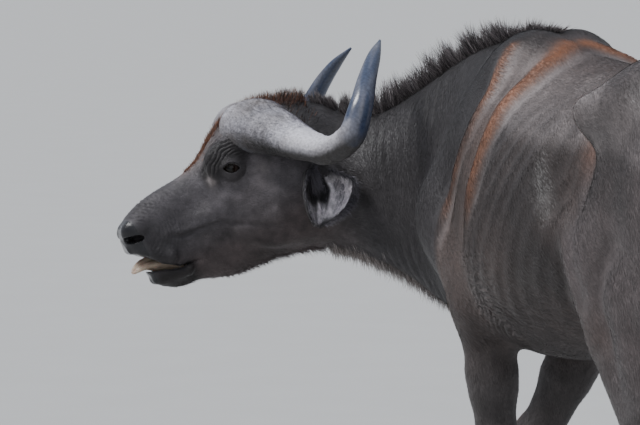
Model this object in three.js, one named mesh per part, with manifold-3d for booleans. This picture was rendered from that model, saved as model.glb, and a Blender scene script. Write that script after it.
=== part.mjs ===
// Cape buffalo cow, life size, standing with the neck bent to its left to browse.
// Millimetres, +Z up. The body is described in a straight frame, X forward from the hips
// to the poll, Y to the animal's left, Z up from the floor, and is then bent sideways
// along its spine. The head has a frame of its own, with its origin between the eyes.

import * as THREE from 'three';
import { mergeVertices } from 'three/addons/utils/BufferGeometryUtils.js';
import Module from 'manifold-3d';

const wasm = await Module();
wasm.setup();

// Driving dimensions

const WITHERS_HEIGHT = 1392;
const GAP = 0.35;
const RUMP_END = -894;
const NECK_END = 1120;
const NECK_CUT = { top: 640, slope: 0.3, level: 1000, crest: 752 };

const SPINE_START = -950;
const SPINE_HEADINGS = [
  [-350, 0],
  [450, 19],
  [600, 28],
  [1000, 63],
  [1120, 72],
];

const BACK_LINE = [
  [-894, 1110], [-878, 1152], [-850, 1198], [-800, 1262], [-700, 1300], [-560, 1322], [-400, 1322],
  [-150, 1318], [80, 1336], [230, 1372], [340, WITHERS_HEIGHT], [450, 1386], [550, 1368],
  [620, 1350], [715, 1308], [815, 1248], [880, 1212], [950, 1190], [1150, 1188],
];
const BELLY_LINE = [
  [-894, 1060], [-878, 1030], [-850, 990], [-800, 930], [-700, 850], [-560, 790], [-400, 742],
  [-200, 702], [0, 680], [200, 670], [400, 674], [520, 688], [620, 716],
  [700, 752], [800, 802], [880, 838], [950, 862], [1020, 878], [1150, 890],
];
const HALF_WIDTH = [
  [-894, 14], [-878, 50], [-850, 90], [-800, 132], [-700, 178], [-560, 205], [-400, 232],
  [-200, 292], [0, 322], [160, 312], [320, 262], [450, 215], [560, 178],
  [660, 152], [760, 134], [880, 116], [1000, 106], [1150, 104],
];
const WIDEST_LEVEL = [
  [-894, 1085], [-700, 1080], [-400, 1010], [-100, 950], [200, 940], [450, 950],
  [650, 990], [880, 1020], [1150, 1030],
];

const EYE_RADIUS = 21;
const EYE_SPREAD = 93;
const HEAD_ORIGIN = { along: 905, left: 742, height: 1064 };
const HEAD_HEADING = 87.5;
const HEAD_ROLL = 4;
const HEAD_SLOPE = 27;
const HEAD_REAR = -236;

// Head outlines run along the slanted head axis, from the poll to the nose
const HEAD_TOP = [
  [-330, 40], [-240, 70], [-180, 88], [-130, 104], [-80, 108], [-31, 99], [10, 78], [39, 57],
  [67, 45], [108, 36], [163, 33], [219, 25], [259, 11], [284, -8], [297, -34],
];
const HEAD_BOTTOM = [
  [-330, -262], [-160, -248], [-85, -240], [0, -237], [97, -230], [150, -210], [176, -200],
  [205, -198], [238, -188], [262, -168], [277, -135], [285, -100], [297, -58],
];
const HEAD_HALF = [
  [-330, 100], [-150, 104], [-60, 102], [0, 96], [50, 80], [100, 65], [150, 55],
  [190, 52], [225, 57], [262, 62], [284, 48], [297, 14],
];
const HEAD_WIDEST = [
  [-330, -60], [-60, -50], [0, -30], [80, -60], [200, -75], [262, -60], [297, -45],
];

const HORN_PATH = [
  { at: [-60, 20, 84], along: 66, thick: 40 },
  { at: [-64, 58, 97], along: 85, thick: 66 },
  { at: [-90, 108, 88], along: 75, thick: 56 },
  { at: [-126, 165, 67], along: 57, thick: 43 },
  { at: [-164, 250, 46], along: 46, thick: 35 },
  { at: [-201, 335, 37], along: 38, thick: 31 },
  { at: [-236, 382, 68], along: 32, thick: 29 },
  { at: [-257, 386, 128], along: 28, thick: 26 },
  { at: [-281, 342, 196], along: 22, thick: 20 },
  { at: [-311, 272, 254], along: 15, thick: 13 },
  { at: [-338, 198, 292], along: 3, thick: 3 },
];

const EAR = { length: 186, width: 122, wall: 6, root: 20 };
const EAR_ROOT = [-196, 92, -4];
const EAR_TIP_DIRECTION = [-0.04, 0.66, -0.75];
const EAR_FACE_DIRECTION = [-0.3, 0.7, 0.55];

const LEG_INNER_PLANE = 96;
const UNDER_BELLY = 655;
const LIMB_ROOT_DEPTH = 14;
const FETLOCK_HEIGHT = 150;
const CORONET_HEIGHT = 78;

const MANE = {
  start: 430, end: 1012, spacing: 17, length: 52, width: 44, thick: 10, sunk: 22, lean: 0.5, offset: 5,
};
const THROAT = {
  length: 34, width: 48, thick: 9, sunk: 24, spacing: 29, offset: 12,
  headFrom: 84, headTo: -170, neckFrom: 985, neckTo: 850,
};
const TAIL = { tip: 606, tuftTop: 700, tuftTip: 455, across: 10, back: -910 };
const TUFT = { count: 7, length: 165, width: 34, thick: 11, sunk: 24, offset: 6 };
const EAR_FRINGE = { count: 7, length: 36, width: 34, thick: 4.2, sunk: 12 };

const CLAW = { length: 122, width: 54, height: 86, cleft: 5 };
const DEWCLAW = { base: 15, shoulder: 13, waist: 20, length: 40, behind: 28, apart: 24, drop: 6 };

// Widths of the rounded creases where forms run into one another
const MUSCLE_BLEND = 90;
const LIMB_BLEND = 36;
const NECK_HEAD_BLEND = 60;

// How finely the solids are divided round their sections
const CORE_SIDES = 27;
const HEAD_SIDES = 27;
const LEG_SIDES = 13;
const HORN_SIDES = 14;
const TAIL_SIDES = 8;
const TONGUE_SIDES = 12;

// Half size of the blocks that part one node from the next
const BLOCK = 1800;

// Small helpers

function clamp(value, low, high) {
  return Math.min(high, Math.max(low, value));
}

function mix(a, b, t) {
  return a + (b - a) * t;
}

// A smooth curve through a table of [position, value] pairs
function through(table) {
  const last = table.length - 1;
  const slopeAt = (i) => {
    const before = table[Math.max(0, i - 1)];
    const after = table[Math.min(last, i + 1)];
    return (after[1] - before[1]) / (after[0] - before[0]);
  };
  const slopes = table.map((_, i) => slopeAt(i));
  return (x) => {
    const place = clamp(x, table[0][0], table[last][0]);
    let i = 0;
    while (i < last - 1 && place > table[i + 1][0]) i += 1;
    const span = table[i + 1][0] - table[i][0];
    const t = (place - table[i][0]) / span;
    const rise = t * t * (3 - 2 * t);
    const startPull = t * (1 - t) * (1 - t);
    const endPull = t * t * (t - 1);
    return mix(table[i][1], table[i + 1][1], rise)
      + span * (startPull * slopes[i] + endPull * slopes[i + 1]);
  };
}

// The union of two distances with a rounded crease of the given width
function blend(a, b, width) {
  const h = Math.max(width - Math.abs(a - b), 0) / width;
  return Math.min(a, b) - h * h * width * 0.25;
}

const backLine = through(BACK_LINE);
const bellyLine = through(BELLY_LINE);
const halfWidth = through(HALF_WIDTH);
const widestLevel = through(WIDEST_LEVEL);
const headTop = through(HEAD_TOP);
const headBottom = through(HEAD_BOTTOM);
const headHalf = through(HEAD_HALF);
const headWidest = through(HEAD_WIDEST);

// Spine: a plan curve whose heading grows towards the head

const spine = (() => {
  const step = 5;
  const heading = (x) => {
    const last = SPINE_HEADINGS.length - 1;
    if (x <= SPINE_HEADINGS[0][0]) return 0;
    if (x >= SPINE_HEADINGS[last][0]) return THREE.MathUtils.degToRad(SPINE_HEADINGS[last][1]);
    return THREE.MathUtils.degToRad(through(SPINE_HEADINGS)(x));
  };
  const nodes = [{ x: SPINE_START, along: SPINE_START, left: 0, angle: 0 }];
  for (let x = SPINE_START + step; x <= 1400; x += step) {
    const before = nodes[nodes.length - 1];
    const middle = heading(x - step / 2);
    nodes.push({
      x,
      along: before.along + step * Math.cos(middle),
      left: before.left + step * Math.sin(middle),
      angle: heading(x),
    });
  }
  const at = (x) => {
    const place = clamp((x - SPINE_START) / step, 0, nodes.length - 1.001);
    const i = Math.floor(place);
    const t = place - i;
    return {
      along: mix(nodes[i].along, nodes[i + 1].along, t),
      left: mix(nodes[i].left, nodes[i + 1].left, t),
      angle: mix(nodes[i].angle, nodes[i + 1].angle, t),
    };
  };
  return { at };
})();

// Straight frame to the bent frame
function bent([x, y, z]) {
  const s = spine.at(x);
  return [s.along - y * Math.sin(s.angle), s.left + y * Math.cos(s.angle), z];
}

// Bent frame to the straight frame
function unbent([along, left, z]) {
  let x = along;
  for (let i = 0; i < 8; i += 1) {
    const s = spine.at(x);
    const ahead = (along - s.along) * Math.cos(s.angle) + (left - s.left) * Math.sin(s.angle);
    x += ahead * 0.9;
  }
  const s = spine.at(x);
  const y = (left - s.left) * Math.cos(s.angle) - (along - s.along) * Math.sin(s.angle);
  return [x, y, z];
}

// Head frame: u forward, v left, w up

const headMatrix = new THREE.Matrix4()
  .makeTranslation(HEAD_ORIGIN.along, HEAD_ORIGIN.left, HEAD_ORIGIN.height)
  .multiply(new THREE.Matrix4().makeRotationZ(THREE.MathUtils.degToRad(HEAD_HEADING)))
  .multiply(new THREE.Matrix4().makeRotationX(THREE.MathUtils.degToRad(HEAD_ROLL)));
const headInverse = headMatrix.clone().invert();
const headMatrixParts = headMatrix.elements;
const headInverseParts = headInverse.elements;

function transformed(m, [x, y, z]) {
  return [
    m[0] * x + m[4] * y + m[8] * z + m[12],
    m[1] * x + m[5] * y + m[9] * z + m[13],
    m[2] * x + m[6] * y + m[10] * z + m[14],
  ];
}

const fromHead = (p) => transformed(headMatrixParts, p);
const toHead = (p) => transformed(headInverseParts, p);

const slopeCos = Math.cos(THREE.MathUtils.degToRad(HEAD_SLOPE));
const slopeSin = Math.sin(THREE.MathUtils.degToRad(HEAD_SLOPE));

// Along the slanted head axis, sideways, and square to it upwards, to the head frame
function fromSlant([a, v, n]) {
  return [a * slopeCos + n * slopeSin, v, n * slopeCos - a * slopeSin];
}

function toSlant([u, v, w]) {
  return [u * slopeCos - w * slopeSin, v, u * slopeSin + w * slopeCos];
}

// Distance fields of single forms

// A limb segment of changing radius; flat above 1 makes it thinner sideways
function limb(a, b, startRadius, endRadius, flat = 1) {
  const start = [a[0], a[1] * flat, a[2]];
  const run = [b[0] - a[0], (b[1] - a[1]) * flat, b[2] - a[2]];
  const runSquared = run[0] ** 2 + run[1] ** 2 + run[2] ** 2;
  return ([x, y, z]) => {
    const p = [x - start[0], y * flat - start[1], z - start[2]];
    const t = clamp((p[0] * run[0] + p[1] * run[1] + p[2] * run[2]) / runSquared, 0, 1);
    const away = Math.hypot(p[0] - run[0] * t, p[1] - run[1] * t, p[2] - run[2] * t);
    return away - mix(startRadius, endRadius, t);
  };
}

function ball(centre, radii) {
  return ([x, y, z]) => {
    const p = [x - centre[0], y - centre[1], z - centre[2]];
    const near = Math.hypot(p[0] / radii[0], p[1] / radii[1], p[2] / radii[2]);
    const steep = Math.hypot(p[0] / radii[0] ** 2, p[1] / radii[1] ** 2, p[2] / radii[2] ** 2);
    return steep < 1e-9 ? -Math.min(...radii) : (near * (near - 1)) / steep;
  };
}

function mirrored(field) {
  return ([x, y, z]) => field([x, -y, z]);
}

// A rounded section: half width, height above and below the widest level
function sectionDistance(across, up, half, above, below, topPower, bottomPower) {
  const height = up > 0 ? above : below;
  const power = up > 0 ? topPower : bottomPower;
  const reach = (Math.abs(across / half) ** power + Math.abs(up / height) ** power) ** (1 / power);
  const away = Math.hypot(across, up);
  return reach < 1e-6 ? -Math.min(half, height) : away * (1 - 1 / reach);
}

// Trunk and neck in the straight frame

function trunkField([x, y, z]) {
  const level = widestLevel(x);
  const half = halfWidth(x);
  const above = Math.max(10, backLine(x) - level);
  const below = Math.max(10, level - bellyLine(x));
  const peaked = mix(1.75, 1.95, clamp((x + 800) / 500, 0, 1));
  const d = sectionDistance(y, z - level, half, above, below, peaked, 2.2);
  return Math.max(d, x - NECK_END, RUMP_END - x);
}

// Bones and muscles of the left side that shape the trunk
const LEFT_TRUNK_FORMS = [
  limb([-430, 226, 1246], [-560, 140, 1276], 18, 40),
  limb([-520, 110, 1296], [-760, 70, 1262], 55, 52),
  limb([-800, 105, 1150], [-832, 95, 1120], 46, 40),
  limb([330, 60, 1318], [500, 146, 1000], 62, 76, 1.6),
];
const MIDDLE_TRUNK_FORMS = [
  limb([-150, 0, 1290], [-700, 0, 1286], 34, 34),
  limb([-470, 0, 800], [-560, 0, 830], 74, 60),
];

// Limbs. Each joint is [x, y, z] in the straight frame, for the left side.

function foreleg(reach, spread) {
  const elbow = [330 + reach * 0.25, 190, 806];
  const knee = [352 + reach * 0.62, spread, 446];
  const fetlock = [346 + reach, spread - 4, FETLOCK_HEIGHT];
  const foot = [388 + reach, spread - 4, CORONET_HEIGHT - 6];
  return {
    joints: { shoulder: [430, 176, 1000], elbow, knee, fetlock, foot },
    upper: [
      limb([352, 104, 1290], [548, 158, 980], 60, 76, 1.6),
      limb([548, 152, 968], elbow, 86, 78, 1.35),
      limb([300, 150, 1110], [elbow[0] - 22, elbow[1], elbow[2] + 14], 96, 66, 1.3),
    ],
    lower: [
      limb([elbow[0] + 8, elbow[1] - 4, elbow[2] - 10], [mix(elbow[0], knee[0], 0.55),
        mix(elbow[1], knee[1], 0.6), mix(elbow[2], knee[2], 0.55)], 82, 56, 1.12),
      limb([mix(elbow[0], knee[0], 0.5), mix(elbow[1], knee[1], 0.5), mix(elbow[2], knee[2], 0.5)],
        knee, 57, 45),
      ball([knee[0] + 6, knee[1], knee[2] - 4], [49, 48, 62]),
      limb(knee, [fetlock[0], fetlock[1], fetlock[2] + 30], 38, 33),
      ball([fetlock[0] - 4, fetlock[1], fetlock[2]], [45, 46, 44]),
      limb(fetlock, foot, 38, 44, 0.92),
    ],
  };
}

function hindleg(reach, spread) {
  const stifle = [-418 + reach * 0.3, 176, 868];
  const hock = [-792 + reach * 0.8, spread + 4, 520];
  const fetlock = [-776 + reach, spread, FETLOCK_HEIGHT + 6];
  const foot = [-732 + reach, spread, CORONET_HEIGHT - 6];
  return {
    joints: { shoulder: [-600, 160, 1060], elbow: stifle, knee: hock, fetlock, foot },
    upper: [
      limb([-560, 120, 1180], [stifle[0] - 40, stifle[1] - 10, stifle[2] + 70], 112, 98, 1.25),
      limb([-690, 108, 1120], [-690, 138, 880], 112, 92, 1.25),
      limb([-785, 92, 1110], [-768, 132, 800], 60, 50, 1.2),
      limb([stifle[0] - 8, stifle[1], stifle[2] + 30],
        [stifle[0] - 50, stifle[1], stifle[2] - 60], 74, 84, 1.35),
    ],
    lower: [
      limb([-600, 152, 860], [mix(-600, hock[0], 0.6), mix(152, hock[1], 0.6), mix(860, hock[2], 0.62)],
        112, 62, 1.35),
      limb([mix(stifle[0], hock[0], 0.25), 160, mix(stifle[2], hock[2], 0.3)],
        [hock[0] + 18, hock[1], hock[2] + 10], 84, 42, 1.2),
      limb([-770, 140, 800], [hock[0] - 28, hock[1], hock[2] + 62], 44, 20),
      ball([hock[0] + 2, hock[1], hock[2] - 6], [56, 40, 62]),
      limb([hock[0] - 34, hock[1], hock[2] + 64], [hock[0] - 26, hock[1], hock[2] - 10], 22, 26),
      limb(hock, [fetlock[0], fetlock[1], fetlock[2] + 30], 42, 33),
      ball([fetlock[0] - 4, fetlock[1], fetlock[2]], [44, 45, 43]),
      limb(fetlock, foot, 37, 43, 0.92),
    ],
  };
}

const LEGS = {
  foreleg_left: { side: 1, front: true, ...foreleg(-12, 142) },
  foreleg_right: { side: -1, front: true, ...foreleg(310, 92) },
  hindleg_left: { side: 1, front: false, ...hindleg(70, 160) },
  hindleg_right: { side: -1, front: false, ...hindleg(-60, 160) },
};

for (const leg of Object.values(LEGS)) {
  const turned = (field) => (leg.side > 0 ? field : mirrored(field));
  leg.upper = leg.upper.map(turned);
  leg.lower = leg.lower.map(turned);
  for (const joint of Object.values(leg.joints)) {
    joint[1] *= leg.side;
  }
}

function trunkWithMuscles(p) {
  let d = trunkField(p);
  for (const form of LEFT_TRUNK_FORMS) {
    d = blend(d, form(p), MUSCLE_BLEND);
    d = blend(d, form([p[0], -p[1], p[2]]), MUSCLE_BLEND);
  }
  for (const form of MIDDLE_TRUNK_FORMS) {
    d = blend(d, form(p), MUSCLE_BLEND);
  }
  for (const leg of Object.values(LEGS)) {
    if (p[1] * leg.side < -40) continue;
    for (const form of leg.upper) d = blend(d, form(p), MUSCLE_BLEND);
  }
  return d;
}

function limbField(leg, p) {
  let d = Infinity;
  for (const form of leg.lower) d = d === Infinity ? form(p) : blend(d, form(p), LIMB_BLEND);
  return d;
}

// Head forms on the slanted axis, left side where they are paired

const HEAD_FORMS = [
  { form: ball([6, 86, 6], [46, 27, 38]), width: 26 },
  { form: limb([-40, 80, 48], [22, 75, 40], 20, 15), width: 30 },
  { form: ball([-60, 66, -130], [104, 36, 88]), width: 40 },
  { form: limb([20, 72, -62], [120, 52, -78], 22, 14), width: 36 },
  { form: ball([262, 36, -26], [34, 26, 26]), width: 16 },
  { form: limb([286, 22, -66], [215, 50, -118], 17, 15), width: 22 },
  { form: limb([262, 24, -152], [190, 40, -166], 15, 14), width: 20 },
];

function headField(p) {
  const [a, v, n] = p;
  const level = headWidest(a);
  const above = Math.max(6, headTop(a) - level);
  const below = Math.max(6, level - headBottom(a));
  let d = sectionDistance(v, n - level, headHalf(a), above, below, 2.4, 1.9);
  const folded = [a, Math.abs(v), n];
  for (const { form, width } of HEAD_FORMS) d = blend(d, form(folded), width);
  return Math.max(d, -330 - a, a - 298);
}

// The whole skin near the head and neck, for a point in the bent frame
function headAndNeck(p) {
  const head = headField(toSlant(toHead(p)));
  const straight = unbent(p);
  return blend(head, trunkField(straight), NECK_HEAD_BLEND);
}

// Solids

function geometryOf(points, faces) {
  const geometry = new THREE.BufferGeometry();
  geometry.setAttribute('position', new THREE.Float32BufferAttribute(points.flat(), 3));
  geometry.setIndex(faces.flat());
  return geometry;
}

function solidOf(geometry) {
  const bare = geometry.clone();
  bare.deleteAttribute('normal');
  bare.deleteAttribute('uv');
  const merged = mergeVertices(bare, 1e-3);
  return new wasm.Manifold(new wasm.Mesh({
    numProp: 3,
    vertProperties: new Float32Array(merged.attributes.position.array),
    triVerts: new Uint32Array(merged.index.array),
  }));
}

function geometryFrom(solid) {
  const parts = solid.decompose();
  const largest = parts.reduce((a, b) => (b.volume() > a.volume() ? b : a));
  const mesh = largest.getMesh();
  const geometry = new THREE.BufferGeometry();
  geometry.setAttribute('position', new THREE.BufferAttribute(new Float32Array(mesh.vertProperties), 3));
  geometry.setIndex(new THREE.BufferAttribute(new Uint32Array(mesh.triVerts), 1));
  return geometry;
}

// Rings of points joined into one closed solid, with a fan at each end
function loft(rings) {
  const sides = rings[0].length;
  const points = rings.flat();
  const faces = [];
  for (let i = 0; i < rings.length - 1; i += 1) {
    for (let j = 0; j < sides; j += 1) {
      const a = i * sides + j;
      const b = i * sides + ((j + 1) % sides);
      faces.push([a, b, b + sides], [a, b + sides, a + sides]);
    }
  }
  const capCentre = (ring) => ring.reduce((s, p) => s.map((c, k) => c + p[k] / sides), [0, 0, 0]);
  const first = points.push(capCentre(rings[0])) - 1;
  const last = points.push(capCentre(rings[rings.length - 1])) - 1;
  const lastRow = (rings.length - 1) * sides;
  for (let j = 0; j < sides; j += 1) {
    const next = (j + 1) % sides;
    faces.push([first, next, j], [last, lastRow + j, lastRow + next]);
  }
  const solid = solidOf(geometryOf(points, faces));
  if (solid.volume() > 0) return solid;
  return solidOf(geometryOf(points, faces.map(([a, b, c]) => [a, c, b])));
}

// The distance from a centre to where a field first turns positive, up to a limit
function castTo(field, centre, direction, limit, grow) {
  const at = (r) => [
    centre[0] + direction[0] * r, centre[1] + direction[1] * r, centre[2] + direction[2] * r,
  ];
  const step = limit / 48;
  let inside = 0;
  while (inside < limit && field(at(inside + step)) < 0) inside += step;
  if (inside >= limit) return limit;
  let low = inside;
  let high = inside + step;
  for (let i = 0; i < 16; i += 1) {
    const middle = (low + high) / 2;
    if (field(at(middle)) < 0) low = middle;
    else high = middle;
  }
  return Math.max(low, 1) + grow;
}

function castRing(field, centre, across, up, sides, limit, grow = 0, phase = 0) {
  const ring = [];
  for (let j = 0; j < sides; j += 1) {
    const angle = ((j + phase) / sides) * Math.PI * 2;
    const direction = [0, 1, 2].map((k) => across[k] * Math.cos(angle) + up[k] * Math.sin(angle));
    const r = castTo(field, centre, direction, limit, grow);
    ring.push([0, 1, 2].map((k) => centre[k] + direction[k] * r));
  }
  return ring;
}

// A flat outline in the X-Z plane of a placed frame, extruded sideways between two planes
function zoneSolid(outline, from, to, matrix) {
  const shape = new THREE.Shape(outline.map(([x, z]) => new THREE.Vector2(x, z)));
  const geometry = new THREE.ExtrudeGeometry(shape, { depth: to - from, bevelEnabled: false });
  geometry.rotateX(Math.PI / 2);
  geometry.translate(0, to, 0);
  geometry.applyMatrix4(matrix);
  return solidOf(geometry);
}

function grownOutline(outline, distance) {
  const area = outline.reduce((sum, [x, z], i) => {
    const [nx, nz] = outline[(i + 1) % outline.length];
    return sum + x * nz - nx * z;
  }, 0);
  const turn = area > 0 ? 1 : -1;
  return outline.map(([x, z], i) => {
    const [bx, bz] = outline[(i + outline.length - 1) % outline.length];
    const [nx, nz] = outline[(i + 1) % outline.length];
    const first = new THREE.Vector2(z - bz, bx - x).normalize();
    const second = new THREE.Vector2(nz - z, x - nx).normalize();
    const out = first.clone().add(second).multiplyScalar(turn / (1 + first.dot(second)));
    return [x + out.x * distance, z + out.y * distance];
  });
}

function spinePlacement(x) {
  const s = spine.at(x);
  return new THREE.Matrix4().makeTranslation(s.along, s.left, 0)
    .multiply(new THREE.Matrix4().makeRotationZ(s.angle))
    .multiply(new THREE.Matrix4().makeTranslation(-x, 0, 0));
}

// Torso and neck: one loft along the spine, parted before the shoulders

function coreRings(from, to, count, field, grow = 0) {
  const rings = [];
  for (let i = 0; i < count; i += 1) {
    const t = i / (count - 1);
    const x = mix(from, to, t);
    const level = mix(widestLevel(x), (backLine(x) + bellyLine(x)) / 2, 0.6);
    rings.push(castRing(field, [x, 0, level], [0, 1, 0], [0, 0, 1], CORE_SIDES, 420, grow, 0.5));
  }
  return rings;
}

function torsoSolid(grow = 0) {
  const rings = [
    ...coreRings(RUMP_END, RUMP_END + 50, 4, trunkWithMuscles, grow),
    ...coreRings(RUMP_END + 94, 800, 23, trunkWithMuscles, grow),
  ];
  return loft(rings.map((ring) => ring.map(bent)));
}

function neckSolid(grow = 0) {
  const field = (p) => {
    const body = trunkWithMuscles(p);
    if (p[0] < 760) return body;
    return blend(headField(toSlant(toHead(bent(p)))), body, NECK_HEAD_BLEND);
  };
  return loft(coreRings(520, NECK_END, 13, field, grow).map((ring) => ring.map(bent)));
}

// Half space ahead of the slanted neck cut, as a large block
function neckZone(shift) {
  const x = (z) => NECK_CUT.top + (z - NECK_CUT.level) * NECK_CUT.slope + shift;
  const outline = [[x(0), 0], [BLOCK, 0], [BLOCK, BLOCK], [x(BLOCK), BLOCK]];
  return zoneSolid(outline, -BLOCK / 2, BLOCK / 2, spinePlacement(NECK_CUT.top));
}

function headZone(shift) {
  const rear = HEAD_REAR + shift;
  const outline = [[rear, -BLOCK], [BLOCK, -BLOCK], [BLOCK, BLOCK], [rear, BLOCK]];
  return zoneSolid(outline, -BLOCK, BLOCK, headMatrix);
}

// Legs

function legSolid(leg) {
  const { joints } = leg;
  const { elbow, knee } = joints;
  const path = leg.front
    ? [joints.shoulder, elbow, knee, joints.fetlock, joints.foot]
    : [
      joints.shoulder, [-620, elbow[1], 880],
      [mix(elbow[0], knee[0], 0.66), knee[1], mix(elbow[2], knee[2], 0.66)],
      knee, joints.fetlock, joints.foot,
    ];
  const table = (axis) => through(path.map((p) => [-p[2], p[axis]]));
  const centreX = table(0);
  const centreY = table(1);
  const field = (p) => {
    const trunk = p[2] > 560 ? trunkWithMuscles(p) : Infinity;
    const lower = limbField(leg, p);
    return trunk === Infinity ? lower : blend(trunk, lower, LIMB_BLEND);
  };
  const levels = [];
  const stretch = (from, to, count) => {
    for (let i = 0; i < count; i += 1) levels.push(mix(from, to, i / count));
  };
  stretch(leg.front ? 940 : 1060, 540, leg.front ? 7 : 9);
  stretch(540, 370, 3);
  stretch(370, 210, 2);
  stretch(210, CLAW.height + GAP, 5);
  levels.push(CLAW.height + GAP);
  const rings = levels.map((z) => {
    const sunk = LIMB_ROOT_DEPTH * clamp((z - 790) / 90, 0, 1);
    const centre = [centreX(-z), centreY(-z), z];
    return castRing(field, centre, [1, 0, 0], [0, 1, 0], LEG_SIDES, leg.front ? 200 : 260, -sunk);
  });
  return loft(rings.map((ring) => ring.map(bent)));
}

function legOutline(leg) {
  const { knee, fetlock, foot, elbow } = leg.joints;
  const front = Math.max(knee[0], fetlock[0], foot[0]) + 150;
  const rear = Math.min(knee[0], fetlock[0], foot[0]) - 120;
  if (leg.front) {
    return [
      [rear, -60], [front, -60], [front, 560], [Math.max(elbow[0] + 130, 560), 690], [608, 800],
      [622, 950], [590, 1080], [520, 1220], [430, 1300], [330, 1296], [262, 1200], [216, 1060],
      [196, 900], [Math.min(rear, 190), 700],
    ];
  }
  return [
    [rear, -60], [front, -60], [front, 520], [-350, 690], [-318, 800], [-330, 920],
    [-390, 1060], [-480, 1180], [-600, 1226], [-720, 1200], [-800, 1110],
    [-836, 980], [-860, 800], [Math.min(rear, -880), 600],
  ];
}

function legZone(leg, grow) {
  const outline = grownOutline(legOutline(leg), grow);
  const inner = LEG_INNER_PLANE - grow;
  const matrix = spinePlacement(leg.front ? 400 : -600);
  return leg.side > 0
    ? zoneSolid(outline, inner, BLOCK, matrix)
    : zoneSolid(outline, -BLOCK, -inner, matrix);
}

// Claws: a rounded wedge with a flat sole and a flat inner wall

function clawSolid(side) {
  const levels = [
    { z: 0, size: 1, back: 0 },
    { z: 22, size: 1, back: -3 },
    { z: 58, size: 0.9, back: -14 },
    { z: CLAW.height, size: 0.78, back: -26 },
  ];
  const sides = 10;
  const rings = levels.map(({ z, size, back }) => {
    const ring = [];
    for (let j = 0; j < sides; j += 1) {
      const angle = (j / sides) * Math.PI * 2;
      const c = Math.cos(angle);
      const s = Math.sin(angle);
      const pointed = c > 0 ? 1 - 0.42 * c * c : 1;
      const length = (CLAW.length / 2) * size;
      const wide = s < 0 ? 0.2 : 1;
      const across = CLAW.width * 0.78 * size * wide * s * pointed;
      ring.push([c * length + back + 14, side * (across + CLAW.width * 0.16 + CLAW.cleft), z]);
    }
    return ring;
  });
  return loft(rings);
}

function footPlacement(leg) {
  const { foot } = leg.joints;
  const s = spine.at(foot[0]);
  const [along, left] = bent([foot[0], foot[1], 0]);
  return new THREE.Matrix4().makeTranslation(along, left, 0)
    .multiply(new THREE.Matrix4().makeRotationZ(s.angle));
}

function placedSolid(solid, matrix) {
  return solid.transform(matrix.elements);
}

// Dewclaws: two small cones behind each fetlock

function dewclawSolid(grow) {
  const profile = [
    new THREE.Vector2(0, -grow),
    new THREE.Vector2(DEWCLAW.base + grow, -grow),
    new THREE.Vector2(DEWCLAW.shoulder + grow, DEWCLAW.waist),
    new THREE.Vector2(0, DEWCLAW.length + grow),
  ];
  return solidOf(new THREE.LatheGeometry(profile, 7));
}

function dewclawPlacement(leg, side) {
  const { fetlock } = leg.joints;
  const s = spine.at(fetlock[0]);
  const [along, left] = bent([fetlock[0], fetlock[1], 0]);
  const axis = new THREE.Vector3(-0.62, side * 0.22, -0.75).normalize();
  const turn = new THREE.Quaternion().setFromUnitVectors(new THREE.Vector3(0, 1, 0), axis);
  return new THREE.Matrix4().makeTranslation(along, left, fetlock[2] - DEWCLAW.drop)
    .multiply(new THREE.Matrix4().makeRotationZ(s.angle))
    .multiply(new THREE.Matrix4().makeTranslation(-DEWCLAW.behind, side * DEWCLAW.apart, 0))
    .multiply(new THREE.Matrix4().makeRotationFromQuaternion(turn));
}

// Head with lids, nostrils and mouth

function headSolid(grow = 0) {
  const stations = [];
  const stretch = (from, to, count) => {
    for (let i = 0; i < count; i += 1) stations.push(mix(from, to, i / count));
  };
  stretch(-320, -80, 5);
  stretch(-80, 70, 8);
  stretch(70, 200, 5);
  stretch(200, 296, 7);
  stations.push(297);
  const rings = stations.map((a) => {
    const level = (headTop(a) + headBottom(a)) / 2 + (a > 280 ? 10 : 0);
    const centre = fromHead(fromSlant([a, 0, level]));
    const origin = fromHead([0, 0, 0]);
    const across = fromHead(fromSlant([0, 1, 0])).map((c, k) => c - origin[k]);
    const up = fromHead(fromSlant([0, 0, 1])).map((c, k) => c - origin[k]);
    return castRing(headAndNeck, centre, across, up, HEAD_SIDES, 330, grow, 0.5);
  });
  return loft(rings);
}

function ballSolid(centre, radii, across = 12, down = 8) {
  const geometry = new THREE.SphereGeometry(1, across, down);
  geometry.scale(...radii);
  geometry.translate(...centre);
  return solidOf(geometry);
}

// The eye opening: an almond extruded outwards from the eye's centre
function eyeOpening(side) {
  const half = 19;
  const lower = 8.5;
  const upper = 11;
  const shape = new THREE.Shape();
  shape.moveTo(half, -2);
  shape.quadraticCurveTo(half * 0.3, upper * 2 - 1, -half, 1);
  shape.quadraticCurveTo(-half * 0.2, -lower * 2 - 1, half, -2);
  const geometry = new THREE.ExtrudeGeometry(shape, { depth: 60, bevelEnabled: false, curveSegments: 7 });
  geometry.rotateX(Math.PI / 2);
  if (side > 0) geometry.scale(1, -1, 1);
  const solid = solidOf(side > 0 ? flipped(geometry) : geometry);
  return solid.transform(new THREE.Matrix4().makeTranslation(0, side * EYE_SPREAD, 0).elements);
}

function flipped(geometry) {
  const plain = geometry.index ? geometry.toNonIndexed() : geometry;
  const at = plain.attributes.position;
  const array = at.array.slice();
  for (let i = 0; i < at.count; i += 3) {
    for (let k = 0; k < 3; k += 1) {
      const keep = array[(i + 1) * 3 + k];
      array[(i + 1) * 3 + k] = array[(i + 2) * 3 + k];
      array[(i + 2) * 3 + k] = keep;
    }
  }
  const result = new THREE.BufferGeometry();
  result.setAttribute('position', new THREE.BufferAttribute(array, 3));
  return result;
}

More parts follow.
